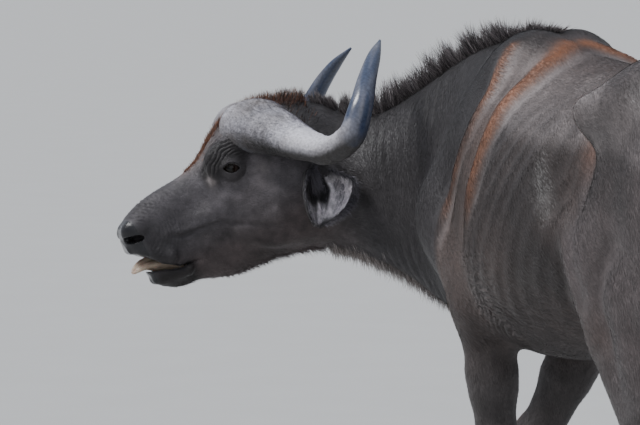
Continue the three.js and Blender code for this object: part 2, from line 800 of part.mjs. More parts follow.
function mouthOpening() {
  const upper = [[156, -157], [203, -150], [236, -128], [256, -102], [281, -80], [330, -56]];
  const lower = [[330, -122], [284, -124], [262, -134], [236, -142], [203, -154]];
  const outline = [...upper, ...lower].map(([a, n]) => {
    const [u, , w] = fromSlant([a, 0, n]);
    return [u, w];
  });
  return zoneSolid(outline, -120, 120, new THREE.Matrix4());
}

function nostrilCut(side) {
  const outer = ballSolid([0, 0, 0], [25, 13, 10], 16, 10);
  const [u, v, w] = fromSlant([272, side * 48, -44]);
  const turn = new THREE.Matrix4().makeTranslation(u, v, w)
    .multiply(new THREE.Matrix4().makeRotationZ(THREE.MathUtils.degToRad(side * -28)))
    .multiply(new THREE.Matrix4().makeRotationY(THREE.MathUtils.degToRad(8)));
  return placedSolid(outer, turn);
}

function finishedHead() {
  let head = joined(headSolid(), headThroatLocks()).intersect(headZone(GAP / 2));
  for (const side of [1, -1]) {
    const eyeCentre = [0, side * EYE_SPREAD, 0];
    const lids = ballSolid(eyeCentre, [EYE_RADIUS + 5, EYE_RADIUS + 4.5, EYE_RADIUS + 4]);
    head = head.add(placedSolid(lids, headMatrix));
    head = head.subtract(placedSolid(eyeOpening(side), headMatrix));
    const socket = ballSolid(eyeCentre, Array(3).fill(EYE_RADIUS + GAP));
    head = head.subtract(placedSolid(socket, headMatrix));
    head = head.subtract(placedSolid(nostrilCut(side), headMatrix));
  }
  return head.subtract(placedSolid(mouthOpening(), headMatrix));
}

function tongueSolid(grow = 0) {
  const path = new THREE.CatmullRomCurve3([
    new THREE.Vector3(118, 0, -214),
    new THREE.Vector3(158, 2, -214),
    new THREE.Vector3(190, 6, -224),
    new THREE.Vector3(214, 10, -244),
  ]);
  const rings = [];
  const count = 9;
  for (let i = 0; i <= count; i += 1) {
    const t = i / count;
    const p = path.getPoint(t);
    const half = mix(24, 20, t) * Math.sqrt(Math.max(0.02, 1 - t ** 4)) + grow;
    const thick = mix(8, 6, t) * Math.sqrt(Math.max(0.05, 1 - t ** 6)) + grow;
    const tangent = path.getTangent(t);
    const up = new THREE.Vector3(-tangent.z, 0, tangent.x);
    const ring = [];
    for (let j = 0; j < TONGUE_SIDES; j += 1) {
      const angle = (j / TONGUE_SIDES) * Math.PI * 2;
      const rise = Math.sin(angle) * thick;
      ring.push([p.x + up.x * rise, p.y + Math.cos(angle) * half, p.z + up.z * rise]);
    }
    rings.push(ring);
  }
  return placedSolid(loft(rings), headMatrix);
}

// Horns: a boss that narrows into a swept-back, upturned horn

function hornSolid(side, grow = 0) {
  const path = new THREE.CatmullRomCurve3(
    HORN_PATH.map(({ at }) => new THREE.Vector3(at[0], side * at[1], at[2])), false, 'centripetal',
  );
  const size = (key) => through(HORN_PATH.map((stop, i) => [i / (HORN_PATH.length - 1), stop[key]]));
  const along = size('along');
  const thick = size('thick');
  const rings = [];
  const count = 18;
  for (let i = 0; i <= count; i += 1) {
    const t = i / count;
    const p = path.getPoint(t);
    const tangent = path.getTangent(t);
    const first = new THREE.Vector3(1, 0, 0).addScaledVector(tangent, -tangent.x).normalize();
    const second = new THREE.Vector3().crossVectors(tangent, first);
    const ring = [];
    for (let j = 0; j < HORN_SIDES; j += 1) {
      const angle = (j / HORN_SIDES) * Math.PI * 2;
      const spot = p.clone()
        .addScaledVector(first, Math.cos(angle) * (along(t) + grow))
        .addScaledVector(second, Math.sin(angle) * (thick(t) + grow));
      ring.push(spot.toArray());
    }
    rings.push(ring);
  }
  return placedSolid(loft(rings), headMatrix);
}

// Ears: a cupped leaf that hangs out and down from below the horn

const earAxis = new THREE.Vector3(...EAR_TIP_DIRECTION).normalize();
const earFace = new THREE.Vector3(...EAR_FACE_DIRECTION);
earFace.addScaledVector(earAxis, -earFace.dot(earAxis)).normalize();
const earAcross = new THREE.Vector3().crossVectors(earAxis, earFace);

// The cupped section at a share of the ear's length from its root
function earSection(t) {
  const swell = Math.sin(Math.PI * clamp(0.1 + t * 0.9, 0, 1) ** 0.85) ** 0.75;
  const half = mix(EAR.root, (EAR.width / 2) * swell + 3, clamp(t * 2.6, 0, 1));
  const curl = mix(2.1, 0.95, clamp(t * 1.8, 0, 1));
  const radius = half / Math.sin(Math.min(curl, Math.PI / 2));
  const inner = Math.max(radius - EAR.wall, radius * 0.55);
  const middle = new THREE.Vector3(...EAR_ROOT).addScaledVector(earAxis, EAR.length * t);
  const spot = (angle, r) => middle.clone()
    .addScaledVector(earAcross, Math.sin(angle) * r)
    .addScaledVector(earFace, radius - Math.cos(angle) * r);
  return { curl, radius, inner, spot };
}

function earSolid(side) {
  const stops = 9;
  const steps = 6;
  const rings = [];
  for (let i = 0; i <= stops; i += 1) {
    const { curl, radius, inner, spot } = earSection(i / stops);
    const ring = [];
    for (let j = 0; j <= steps; j += 1) ring.push(spot(mix(-curl, curl, j / steps), radius));
    for (let j = steps; j >= 0; j -= 1) ring.push(spot(mix(-curl, curl, j / steps), inner));
    rings.push(ring.map((p) => [p.x, side * p.y, p.z]));
  }
  return placedSolid(loft(rings), headMatrix);
}

// Long hairs along both rims of the ear, trailing towards its tip
function earFringe(side) {
  const draw = seededDraws(53);
  const locks = [];
  for (let i = 0; i < EAR_FRINGE.count; i += 1) {
    const rim = i % 2 === 0 ? 1 : -1;
    const t = mix(0.42, 0.94, i / (EAR_FRINGE.count - 1));
    const { curl, radius, inner, spot } = earSection(t);
    const turn = rim * curl;
    const root = spot(turn, (radius + inner) / 2);
    const outward = earAcross.clone().multiplyScalar(Math.cos(turn) * rim)
      .addScaledVector(earFace, Math.sin(turn) * rim);
    const lie = outward.clone().addScaledVector(earAxis, 0.7 + 0.15 * draw());
    const along = earAxis.clone();
    const flip = (v) => [v.x, side * v.y, v.z];
    locks.push(lockSolid({
      root: flip(root),
      lie: flip(lie),
      bend: flip(along.clone().multiplyScalar(0.12)),
      across: flip(along),
      length: EAR_FRINGE.length * (1 + 0.2 * draw()),
      width: EAR_FRINGE.width,
      thick: EAR_FRINGE.thick,
      sunk: EAR_FRINGE.sunk,
    }));
  }
  return locks.map((lock) => placedSolid(lock, headMatrix));
}

// Tail

function tailSolid() {
  const path = new THREE.CatmullRomCurve3([
    new THREE.Vector3(-770, 0, 1262), new THREE.Vector3(-850, 0, 1250),
    new THREE.Vector3(-896, 0, 1190), new THREE.Vector3(TAIL.back + 2, 4, 1060),
    new THREE.Vector3(TAIL.back + 4, 8, 880), new THREE.Vector3(TAIL.back + 2, TAIL.across, TAIL.tuftTop),
    new THREE.Vector3(TAIL.back, TAIL.across + 1, 650),
    new THREE.Vector3(TAIL.back - 1, TAIL.across + 2, TAIL.tip),
  ]);
  const radius = through([
    [0, 44], [0.12, 38], [0.25, 26], [0.5, 18], [0.7, 14], [0.8, 16], [0.9, 14], [0.97, 9], [1, 4],
  ]);
  const rings = [];
  const count = 15;
  for (let i = 0; i <= count; i += 1) {
    const t = i / count;
    const p = path.getPointAt(t);
    const tangent = path.getTangentAt(t);
    const up = new THREE.Vector3().crossVectors(tangent, new THREE.Vector3(0, 1, 0)).normalize();
    const ring = [];
    for (let j = 0; j < TAIL_SIDES; j += 1) {
      const angle = (j / TAIL_SIDES) * Math.PI * 2;
      const r = radius(t);
      ring.push([
        p.x + up.x * Math.sin(angle) * r, p.y + Math.cos(angle) * r, p.z + up.z * Math.sin(angle) * r,
      ]);
    }
    rings.push(ring);
  }
  return loft(rings);
}

// Locks: flat, tapered and bent, with their roots sunk into what carries them

function lockSolid({ root, lie, bend, across, length, width, thick, sunk }) {
  const direction = new THREE.Vector3(...lie).normalize();
  const side = new THREE.Vector3(...across);
  side.addScaledVector(direction, -side.dot(direction)).normalize();
  const sag = new THREE.Vector3(...bend);
  const start = new THREE.Vector3(...root).addScaledVector(direction, -sunk);
  const whole = length + sunk;
  const stops = [[0, 0.75], [0.45, 1], [0.8, 0.66]];
  const rings = stops.map(([t, size]) => {
    const middle = start.clone().addScaledVector(direction, whole * t).addScaledVector(sag, whole * t * t);
    const normal = new THREE.Vector3().crossVectors(direction, side);
    const corner = (s, n) => middle.clone()
      .addScaledVector(side, s * (width / 2) * size)
      .addScaledVector(normal, n * (thick / 2) * size)
      .toArray();
    return [corner(1, 0), corner(0, 1), corner(-1, 0), corner(0, -1)];
  });
  const tip = start.clone().addScaledVector(direction, whole).addScaledVector(sag, whole);
  rings.push(rings[0].map((_, j) => {
    const turn = (j / 4) * Math.PI * 2;
    return [tip.x + 0.4 * Math.cos(turn), tip.y + 0.4 * Math.sin(turn), tip.z];
  }));
  return loft(rings);
}

// Seeded draws between -1 and 1
function seededDraws(seed) {
  let state = seed;
  return () => {
    state = (state * 16807) % 2147483647;
    return (state / 2147483647) * 2 - 1;
  };
}

function joined(solid, locks) {
  return locks.reduce((sum, lock) => sum.add(lock), solid);
}

// Mane: two staggered rows of locks on the crest, leaning forwards and outwards
function maneLocks(from, to, seed) {
  const draw = seededDraws(seed);
  const count = Math.round((to - from) / MANE.spacing);
  const locks = [];
  for (let i = 0; i <= count; i += 1) {
    const x = mix(from, to, i / count);
    const row = i % 2 === 0 ? 1 : -1;
    const grown = clamp((x - MANE.start) / 160, 0.35, 1) * clamp((MANE.end + 60 - x) / 120, 0.5, 1);
    const length = MANE.length * grown * (1 + 0.14 * draw());
    const s = spine.at(x);
    const ahead = [Math.cos(s.angle), Math.sin(s.angle), 0];
    const aside = [-Math.sin(s.angle), Math.cos(s.angle), 0];
    const lean = row * (0.2 + 0.08 * draw());
    const forward = MANE.lean + 0.1 * draw();
    locks.push(lockSolid({
      root: bent([x, row * MANE.offset, backLine(x) - 2]),
      lie: [0, 1, 2].map((k) => ahead[k] * forward + aside[k] * lean + (k === 2 ? 1 : 0)),
      bend: [0, 1, 2].map((k) => ahead[k] * 0.1 + aside[k] * lean * 0.3),
      across: ahead,
      length,
      width: MANE.width,
      thick: MANE.thick,
      sunk: MANE.sunk,
    }));
  }
  return locks;
}

// Throat: hair that hangs from the jaw and the upper neck and trails back
function throatLocks(stations, place, seed) {
  const draw = seededDraws(seed);
  return stations.map((station, i) => {
    const row = i % 2 === 0 ? 1 : -1;
    const { root, ahead, aside } = place(station, row);
    const spread = row * (0.2 + 0.1 * draw());
    return lockSolid({
      root,
      lie: [0, 1, 2].map((k) => aside[k] * spread - ahead[k] * 0.35 - (k === 2 ? 1 : 0)),
      bend: ahead.map((c) => -c * 0.18),
      across: ahead,
      length: THROAT.length * (1 + 0.2 * draw()),
      width: THROAT.width,
      thick: THROAT.thick,
      sunk: THROAT.sunk,
    });
  });
}

function headThroatLocks() {
  const stations = [];
  for (let a = THROAT.headFrom; a > THROAT.headTo; a -= THROAT.spacing) stations.push(a);
  const ahead = fromHead([1, 0, 0]).map((c, k) => c - fromHead([0, 0, 0])[k]);
  const aside = fromHead([0, 1, 0]).map((c, k) => c - fromHead([0, 0, 0])[k]);
  const place = (a, row) => ({
    root: fromHead(fromSlant([a, row * THROAT.offset, headBottom(a) + 6])),
    ahead,
    aside,
  });
  return throatLocks(stations, place, 41);
}

function neckThroatLocks() {
  const stations = [];
  for (let x = THROAT.neckFrom; x > THROAT.neckTo; x -= THROAT.spacing) stations.push(x);
  const place = (x, row) => {
    const { angle } = spine.at(x);
    return {
      root: bent([x, row * THROAT.offset, bellyLine(x) + 6]),
      ahead: [Math.cos(angle), Math.sin(angle), 0],
      aside: [-Math.sin(angle), Math.cos(angle), 0],
    };
  };
  return throatLocks(stations, place, 43);
}

// Tail tuft: locks round the end of the tail, hanging over one another
function tuftLocks() {
  const draw = seededDraws(47);
  const locks = [];
  for (let i = 0; i < TUFT.count; i += 1) {
    const turn = i * 2.4;
    const out = [Math.cos(turn), Math.sin(turn), 0];
    const z = mix(TAIL.tuftTop - 20, TAIL.tuftTip + TUFT.length, i / (TUFT.count - 1));
    locks.push(lockSolid({
      root: [TAIL.back + out[0] * TUFT.offset, TAIL.across + out[1] * TUFT.offset, z],
      lie: [out[0] * 0.2, out[1] * 0.2, -1],
      bend: [-out[0] * 0.12, -out[1] * 0.12, 0],
      across: [-out[1], out[0], 0],
      length: TUFT.length * (1 + 0.2 * draw()),
      width: TUFT.width,
      thick: TUFT.thick,
      sunk: TUFT.sunk,
    }));
  }
  return locks;
}

// The model

const COLOURS = {
  hide: { color: 0x3a3432, roughness: 0.85 },
  horn: { color: 0x5f5c5c, roughness: 0.5 },
  claw: { color: 0x2b2725, roughness: 0.6 },
  eye: { color: 0x120e0d, roughness: 0.1 },
  tongue: { color: 0xc9a68c, roughness: 0.5 },
};

const buffalo = new THREE.Group();

function addNode(name, solid, look) {
  const material = new THREE.MeshStandardMaterial({ metalness: 0, ...COLOURS[look] });
  const mesh = new THREE.Mesh(geometryFrom(solid), material);
  mesh.name = name;
  buffalo.add(mesh);
}

const grownHead = headSolid(GAP);
const grownNeck = neckSolid(GAP);

const body = torsoSolid();
let torso = joined(body, maneLocks(MANE.start, NECK_CUT.crest - 10, 31)).subtract(neckZone(-GAP / 2));
for (const leg of Object.values(LEGS)) torso = torso.subtract(legZone(leg, GAP));
addNode('torso', torso, 'hide');

let neck = joined(neckSolid(), [...maneLocks(NECK_CUT.crest + 12, MANE.end, 37), ...neckThroatLocks()])
  .intersect(neckZone(GAP / 2))
  .subtract(headZone(-GAP / 2));
for (const leg of Object.values(LEGS)) neck = neck.subtract(legZone(leg, GAP));
addNode('neck', neck, 'hide');

const underBelly = solidOf(
  new THREE.BoxGeometry(2 * BLOCK, 2 * BLOCK, 2 * BLOCK).translate(0, 0, UNDER_BELLY - BLOCK),
);
for (const [name, leg] of Object.entries(LEGS)) {
  const zone = legZone(leg, 0);
  let solid = body.intersect(zone).add(legSolid(leg).intersect(zone.add(underBelly)));
  const foot = footPlacement(leg);
  for (const side of [1, -1]) {
    solid = solid.subtract(placedSolid(dewclawSolid(GAP), dewclawPlacement(leg, side)));
  }
  addNode(name, solid, 'hide');
  for (const side of [1, -1]) {
    const where = side === leg.side ? 'outer' : 'inner';
    addNode(`claw_${name}_${where}`, placedSolid(clawSolid(side), foot), 'claw');
    addNode(`dewclaw_${name}_${where}`, placedSolid(dewclawSolid(0), dewclawPlacement(leg, side)), 'claw');
  }
}

const horns = { left: hornSolid(1), right: hornSolid(-1) };
const head = finishedHead();
addNode('head', head, 'hide');
addNode('horn_left', horns.left.subtract(grownHead), 'horn');
addNode('horn_right', horns.right.subtract(grownHead), 'horn');
for (const [name, side] of [['left', 1], ['right', -1]]) {
  const eye = ballSolid([0, side * EYE_SPREAD, 0], Array(3).fill(EYE_RADIUS));
  addNode(`eye_${name}`, placedSolid(eye, headMatrix), 'eye');
  const ear = joined(earSolid(side), earFringe(side))
    .subtract(grownHead)
    .subtract(grownNeck)
    .subtract(hornSolid(side, GAP));
  addNode(`ear_${name}`, ear, 'hide');
}
addNode('tongue', tongueSolid().subtract(head), 'tongue');

const tail = joined(tailSolid(), tuftLocks()).subtract(torsoSolid(GAP));
const aboveTuft = (shift) => solidOf(
  new THREE.BoxGeometry(2 * BLOCK, 2 * BLOCK, 2 * BLOCK).translate(0, 0, TAIL.tuftTop + 8 + shift + BLOCK),
);
addNode('tail', tail.intersect(aboveTuft(GAP / 2)), 'hide');
addNode('tail_tuft', tail.subtract(aboveTuft(-GAP / 2)), 'hide');

// The origin is in the middle of the whole, at the level of the soles
const whole = new THREE.Box3().setFromObject(buffalo);
const middle = whole.getCenter(new THREE.Vector3());
buffalo.position.set(-middle.x, -middle.y, 0);

export default buffalo;
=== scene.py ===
"""Cape buffalo cow, life size, standing with the neck bent to its left to browse.

One smooth skin, its coat, the horns, eyes, claws and tongue are made in code round the
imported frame. Forms are worked out in millimetres in the animal's own frame: X forward from
the hips, Y to its left, Z up from the floor. The trunk, neck and legs are described straight
and then bent sideways along the spine. The head has a frame of its own, between the eyes.
"""

import math

import bpy
import numpy as np
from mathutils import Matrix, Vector


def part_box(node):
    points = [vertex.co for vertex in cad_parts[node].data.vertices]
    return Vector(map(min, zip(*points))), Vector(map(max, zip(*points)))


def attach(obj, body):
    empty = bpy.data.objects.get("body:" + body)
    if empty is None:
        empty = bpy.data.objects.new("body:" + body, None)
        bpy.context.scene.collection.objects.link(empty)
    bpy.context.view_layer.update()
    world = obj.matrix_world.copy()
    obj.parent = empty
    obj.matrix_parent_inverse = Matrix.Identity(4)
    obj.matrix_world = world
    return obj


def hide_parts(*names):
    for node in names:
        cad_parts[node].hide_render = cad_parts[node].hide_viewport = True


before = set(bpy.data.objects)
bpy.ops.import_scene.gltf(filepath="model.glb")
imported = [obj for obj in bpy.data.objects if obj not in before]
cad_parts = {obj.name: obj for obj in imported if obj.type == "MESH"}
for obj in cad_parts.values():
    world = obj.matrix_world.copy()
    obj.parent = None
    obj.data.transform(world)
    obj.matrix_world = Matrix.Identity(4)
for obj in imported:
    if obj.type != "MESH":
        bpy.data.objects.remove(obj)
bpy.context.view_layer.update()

WITHERS_HEIGHT = 1392
RUMP_END = -894
NECK_END = 1120
SPINE_HEADINGS = [(-350, 0), (450, 19), (600, 28), (1000, 63), (1120, 72)]
BACK_LINE = [
    (-894, 1110), (-878, 1152), (-850, 1198), (-800, 1262), (-700, 1300), (-560, 1322), (-400, 1322),
    (-150, 1318), (80, 1336), (230, 1372), (340, WITHERS_HEIGHT), (450, 1386), (550, 1368),
    (620, 1350), (715, 1308), (815, 1248), (880, 1212), (950, 1190), (1150, 1188),
]
BELLY_LINE = [
    (-894, 1060), (-878, 1030), (-850, 990), (-800, 930), (-700, 850), (-560, 790), (-400, 742),
    (-200, 702), (0, 680), (200, 670), (400, 674), (520, 688), (620, 716),
    (700, 752), (800, 802), (880, 838), (950, 862), (1020, 878), (1150, 890),
]
HALF_WIDTH = [
    (-894, 14), (-878, 50), (-850, 90), (-800, 132), (-700, 178), (-560, 205), (-400, 232),
    (-200, 292), (0, 322), (160, 312), (320, 262), (450, 215), (560, 178),
    (660, 152), (760, 134), (880, 116), (1000, 106), (1150, 104),
]
WIDEST_LEVEL = [
    (-894, 1085), (-700, 1080), (-400, 1010), (-100, 950), (200, 940), (450, 950),
    (650, 990), (880, 1020), (1150, 1030),
]
EYE_RADIUS = 21
EYE_SPREAD = 93
HEAD_ORIGIN = (905, 742, 1064)
HEAD_HEADING = 87.5
HEAD_ROLL = 4
HEAD_SLOPE = 27
HEAD_START, HEAD_END = -330, 298
HEAD_TOP = [
    (-330, 40), (-240, 70), (-180, 88), (-130, 104), (-80, 108), (-31, 99), (10, 78), (39, 57),
    (67, 45), (108, 36), (163, 33), (219, 25), (259, 11), (284, -8), (297, -34),
]
HEAD_BOTTOM = [
    (-330, -262), (-160, -248), (-85, -240), (0, -237), (97, -230), (150, -210), (176, -200),
    (205, -198), (238, -188), (262, -168), (277, -135), (285, -100), (297, -58),
]
HEAD_HALF = [
    (-330, 100), (-150, 104), (-60, 102), (0, 96), (50, 80), (100, 65), (150, 55),
    (190, 52), (225, 57), (262, 62), (284, 48), (297, 14),
]
HEAD_WIDEST = [
    (-330, -60), (-60, -50), (0, -30), (80, -60), (200, -75), (262, -60), (297, -45),
]
HORN_PATH = [
    (-60, 20, 84, 66, 40), (-64, 58, 97, 85, 66), (-90, 108, 88, 75, 56), (-126, 165, 67, 57, 43),
    (-164, 250, 46, 46, 35), (-201, 335, 37, 38, 31), (-236, 382, 68, 32, 29), (-257, 386, 128, 28, 26),
    (-281, 342, 196, 22, 20), (-311, 272, 254, 15, 13), (-338, 198, 292, 3, 3),
]
EAR = dict(length=186, width=122, wall=6, root=20)
EAR_ROOT = (-196, 92, -4)
EAR_TIP_DIRECTION = (-0.04, 0.66, -0.75)
EAR_FACE_DIRECTION = (-0.3, 0.7, 0.55)
FETLOCK_HEIGHT = 150
CORONET_HEIGHT = 78
MUSCLE_BLEND, LIMB_BLEND, NECK_HEAD_BLEND = 90, 36, 60
MIDLINE_OVERLAP = 40
HEAD_REACH = 520
X_AXIS, Y_AXIS, Z_AXIS = range(3)


def through(table):
    """a smooth curve through a table of places and values"""
    xs, ys = np.array(table, float).T
    slopes = np.gradient(ys)
    slopes[1:-1] = (ys[2:] - ys[:-2]) / (xs[2:] - xs[:-2])
    slopes[0] = (ys[1] - ys[0]) / (xs[1] - xs[0])
    slopes[-1] = (ys[-1] - ys[-2]) / (xs[-1] - xs[-2])
    fine = np.linspace(xs[0], xs[-1], 4096)
    i = np.clip(np.searchsorted(xs, fine, side="right") - 1, 0, len(xs) - 2)
    span = xs[i + 1] - xs[i]
    t = (fine - xs[i]) / span
    rise = t * t * (3 - 2 * t)
    values = ys[i] + (ys[i + 1] - ys[i]) * rise
    values = values + span * (t * (1 - t) ** 2 * slopes[i] + t * t * (t - 1) * slopes[i + 1])
    return lambda x: np.interp(x, fine, values)


def blend(a, b, width):
    """the union of two distances, rounded where they meet"""
    h = np.maximum(width - np.abs(a - b), 0) / width
    return np.minimum(a, b) - h * h * width * 0.25


def dot(a, b):
    """the products of two lists of vectors, row by row"""
    return np.einsum("ij,ij->i", a, b)


def length(p):
    return np.sqrt(dot(p, p))


def unit_rows(v):
    return v / np.maximum(length(v), 1e-9)[:, None]


back_line, belly_line = through(BACK_LINE), through(BELLY_LINE)
half_width, widest_level = through(HALF_WIDTH), through(WIDEST_LEVEL)
head_top, head_bottom = through(HEAD_TOP), through(HEAD_BOTTOM)
head_half, head_widest = through(HEAD_HALF), through(HEAD_WIDEST)

SPINE_STEP = 5
SPINE_REACH = 1400
heading_curve = through(SPINE_HEADINGS)


def heading(x):
    """how far the spine has turned to the left, in radians"""
    return np.radians(np.where(x <= SPINE_HEADINGS[0][0], 0, heading_curve(x)))


spine_x = np.arange(-SPINE_REACH, SPINE_REACH + 1, SPINE_STEP, dtype=float)
spine_angle = heading(spine_x)
between_stops = heading(spine_x[1:] - SPINE_STEP / 2)
spine_along = spine_x[0] + np.concatenate([[0], np.cumsum(SPINE_STEP * np.cos(between_stops))])
spine_left = np.concatenate([[0], np.cumsum(SPINE_STEP * np.sin(between_stops))])


def spine_at(x):
    """the bent spine's place and heading at a distance along it"""
    return tuple(np.interp(x, spine_x, table) for table in (spine_along, spine_left, spine_angle))


def spine_vectors(x):
    """unit vectors forward and to the left of the spine"""
    _, _, angle = spine_at(x)
    c, s, level = np.cos(angle), np.sin(angle), np.zeros(len(x))
    return np.stack([c, s, level], 1), np.stack([-s, c, level], 1)


def bent(p):
    """points of the straight frame, bent along the spine"""
    along, left, angle = spine_at(p[:, 0])
    return np.stack([along - p[:, 1] * np.sin(angle), left + p[:, 1] * np.cos(angle), p[:, 2]], 1)


def unbent(p):
    """points of the bent animal in the straight frame"""
    x = p[:, 0].copy()
    for _ in range(10):
        along, left, angle = spine_at(x)
        x += 0.9 * ((p[:, 0] - along) * np.cos(angle) + (p[:, 1] - left) * np.sin(angle))
    along, left, angle = spine_at(x)
    y = (p[:, 1] - left) * np.cos(angle) - (p[:, 0] - along) * np.sin(angle)
    return np.stack([x, y, p[:, 2]], 1)


def turn(axis, degrees):
    """the matrix of a turn about an axis"""
    c, s = math.cos(math.radians(degrees)), math.sin(math.radians(degrees))
    one, two = (axis + 1) % 3, (axis + 2) % 3
    matrix = np.eye(3)
    matrix[one, one] = matrix[two, two] = c
    matrix[one, two], matrix[two, one] = -s, s
    return matrix


HEAD_TURN = turn(Z_AXIS, HEAD_HEADING) @ turn(X_AXIS, HEAD_ROLL)
SLANT = turn(Y_AXIS, HEAD_SLOPE)   # columns: along, left, up of the slanted head axis


def from_head(q):
    return q @ HEAD_TURN.T + HEAD_ORIGIN


def to_head(p):
    return (p - HEAD_ORIGIN) @ HEAD_TURN


def head_vectors(v):
    """directions of the head frame turned into the animal's frame"""
    return np.asarray(v, float) @ HEAD_TURN.T


def slant_vectors(v):
    """directions of the slanted head frame turned into the animal's frame"""
    return head_vectors(np.asarray(v, float) @ SLANT.T)


def from_slant(q):
    return q @ SLANT.T


def to_slant(q):
    return q @ SLANT


def one_sided(p):
    """points with the right side laid over the left"""
    return np.stack([p[:, 0], np.abs(p[:, 1]), p[:, 2]], 1)


class Form:
    """A distance field with the box that it matters in."""

    def __init__(self, distance, low, high):
        self.distance, self.low, self.high = distance, np.array(low, float), np.array(high, float)

    def mirrored(self):
        """the form on the other side of the animal"""
        flip = np.array([1, -1, 1])
        low, high = self.low * flip, self.high * flip
        return Form(lambda p: self.distance(p * flip), np.minimum(low, high), np.maximum(low, high))

    def joined(self, d, p, width):
        """the distances d at points p with this form blended in"""
        near = ((p > self.low - width - 1) & (p < self.high + width + 1)).all(1)
        d[near] = blend(d[near], self.distance(p[near]), width)
        return d


def limb(a, b, start_radius, end_radius, flat=1.0):
    """a rod with round ends, thinner sideways where flat is over 1"""
    scale = np.array([1, flat, 1])
    start = np.array(a, float) * scale
    run = np.array(b, float) * scale - start

    def distance(p):
        q = p * scale - start
        t = np.clip(q @ run / (run @ run), 0, 1)
        return length(q - t[:, None] * run) - (start_radius + (end_radius - start_radius) * t)

    reach = max(start_radius, end_radius)
    return Form(distance, np.minimum(a, b) - reach, np.maximum(a, b) + reach)


def ball(centre, radii):
    """a ball with a radius along each axis"""
    centre, radii = np.array(centre, float), np.array(radii, float)

    def distance(p):
        q = p - centre
        near = length(q / radii)
        steep = np.maximum(length(q / radii ** 2), 1e-9)
        return near * (near - 1) / steep

    return Form(distance, centre - radii, centre + radii)


def section_distance(across, up, half, above, below, top_power, bottom_power):
    """distance to an outline that is half wide each way, reaching above and below its widest level"""
    height = np.where(up > 0, above, below)
    power = np.where(up > 0, top_power, bottom_power)
    reach = (np.abs(across / half) ** power + np.abs(up / height) ** power) ** (1 / power)
    return np.hypot(across, up) * (1 - 1 / np.maximum(reach, 1e-6))


def trunk_field(p):
    """distance to the trunk and neck at points of the straight frame"""
    x, y, z = p.T
    level, half = widest_level(x), half_width(x)
    above = np.maximum(10, back_line(x) - level)
    below = np.maximum(10, level - belly_line(x))
    peaked = 1.75 + 0.2 * np.clip((x + 800) / 500, 0, 1)
    d = section_distance(y, z - level, half, above, below, peaked, 2.2)
    return np.maximum(d, np.maximum(x - NECK_END, RUMP_END - x))


LEFT_TRUNK_FORMS = [
    limb((-430, 226, 1246), (-560, 140, 1276), 18, 40),
    limb((-520, 110, 1296), (-760, 70, 1262), 55, 52),
    limb((-800, 105, 1150), (-832, 95, 1120), 46, 40),
    limb((330, 60, 1318), (500, 146, 1000), 62, 76, 1.6),
]
MIDDLE_TRUNK_FORMS = [
    limb((-150, 0, 1290), (-700, 0, 1286), 34, 34),
    limb((-470, 0, 800), (-560, 0, 830), 74, 60),
]


def mix(a, b, t):
    return a + (b - a) * t


def mix_points(a, b, tx, ty, tz):
    return tuple(mix(*pair) for pair in zip(a, b, (tx, ty, tz)))


def foreleg(reach, spread):
    """a foreleg's forms and joints; reach moves the foot forward, spread outwards"""
    elbow = (330 + reach * 0.25, 190, 806)
    knee = (352 + reach * 0.62, spread, 446)
    fetlock = (346 + reach, spread - 4, FETLOCK_HEIGHT)
    foot = (388 + reach, spread - 4, CORONET_HEIGHT - 6)
    ex, ey, ez = elbow
    fx, fy, fz = fetlock
    kx, ky, kz = knee
    upper = [
        limb((352, 104, 1290), (548, 158, 980), 60, 76, 1.6),
        limb((548, 152, 968), elbow, 86, 78, 1.35),
        limb((300, 150, 1110), (ex - 22, ey, ez + 14), 96, 66, 1.3),
    ]
    lower = [
        limb((ex + 8, ey - 4, ez - 10), mix_points(elbow, knee, 0.55, 0.6, 0.55), 82, 56, 1.12),
        limb(mix_points(elbow, knee, 0.5, 0.5, 0.5), knee, 57, 45),
        ball((kx + 6, ky, kz - 4), (49, 48, 62)),
        limb(knee, (fx, fy, fz + 30), 38, 33),
        ball((fx - 4, fy, fz), (45, 46, 44)),
        limb(fetlock, foot, 38, 44, 0.92),
    ]
    return dict(upper=upper, lower=lower, knee=knee, fetlock=fetlock, foot=foot, elbow=elbow)


def hindleg(reach, spread):
    """a hind leg's forms and joints, its hock and stifle under the names of knee and elbow"""
    stifle = (-418 + reach * 0.3, 176, 868)
    hock = (-792 + reach * 0.8, spread + 4, 520)
    fetlock = (-776 + reach, spread, FETLOCK_HEIGHT + 6)
    foot = (-732 + reach, spread, CORONET_HEIGHT - 6)
    sx, sy, sz = stifle
    hx, hy, hz = hock
    fx, fy, fz = fetlock
    upper = [
        limb((-560, 120, 1180), (sx - 40, sy - 10, sz + 70), 112, 98, 1.25),
        limb((-690, 108, 1120), (-690, 138, 880), 112, 92, 1.25),
        limb((-785, 92, 1110), (-768, 132, 800), 60, 50, 1.2),
        limb((sx - 8, sy, sz + 30), (sx - 50, sy, sz - 60), 74, 84, 1.35),
    ]
    lower = [
        limb((-600, 152, 860), mix_points((-600, 152, 860), hock, 0.6, 0.6, 0.62), 112, 62, 1.35),
        limb((mix(sx, hx, 0.25), 160, mix(sz, hz, 0.3)), (hx + 18, hy, hz + 10), 84, 42, 1.2),
        limb((-770, 140, 800), (hx - 28, hy, hz + 62), 44, 20),
        ball((hx + 2, hy, hz - 6), (56, 40, 62)),
        limb((hx - 34, hy, hz + 64), (hx - 26, hy, hz - 10), 22, 26),
        limb(hock, (fx, fy, fz + 30), 42, 33),
        ball((fx - 4, fy, fz), (44, 45, 43)),
        limb(fetlock, foot, 37, 43, 0.92),
    ]
    return dict(upper=upper, lower=lower, knee=hock, fetlock=fetlock, foot=foot, elbow=stifle)


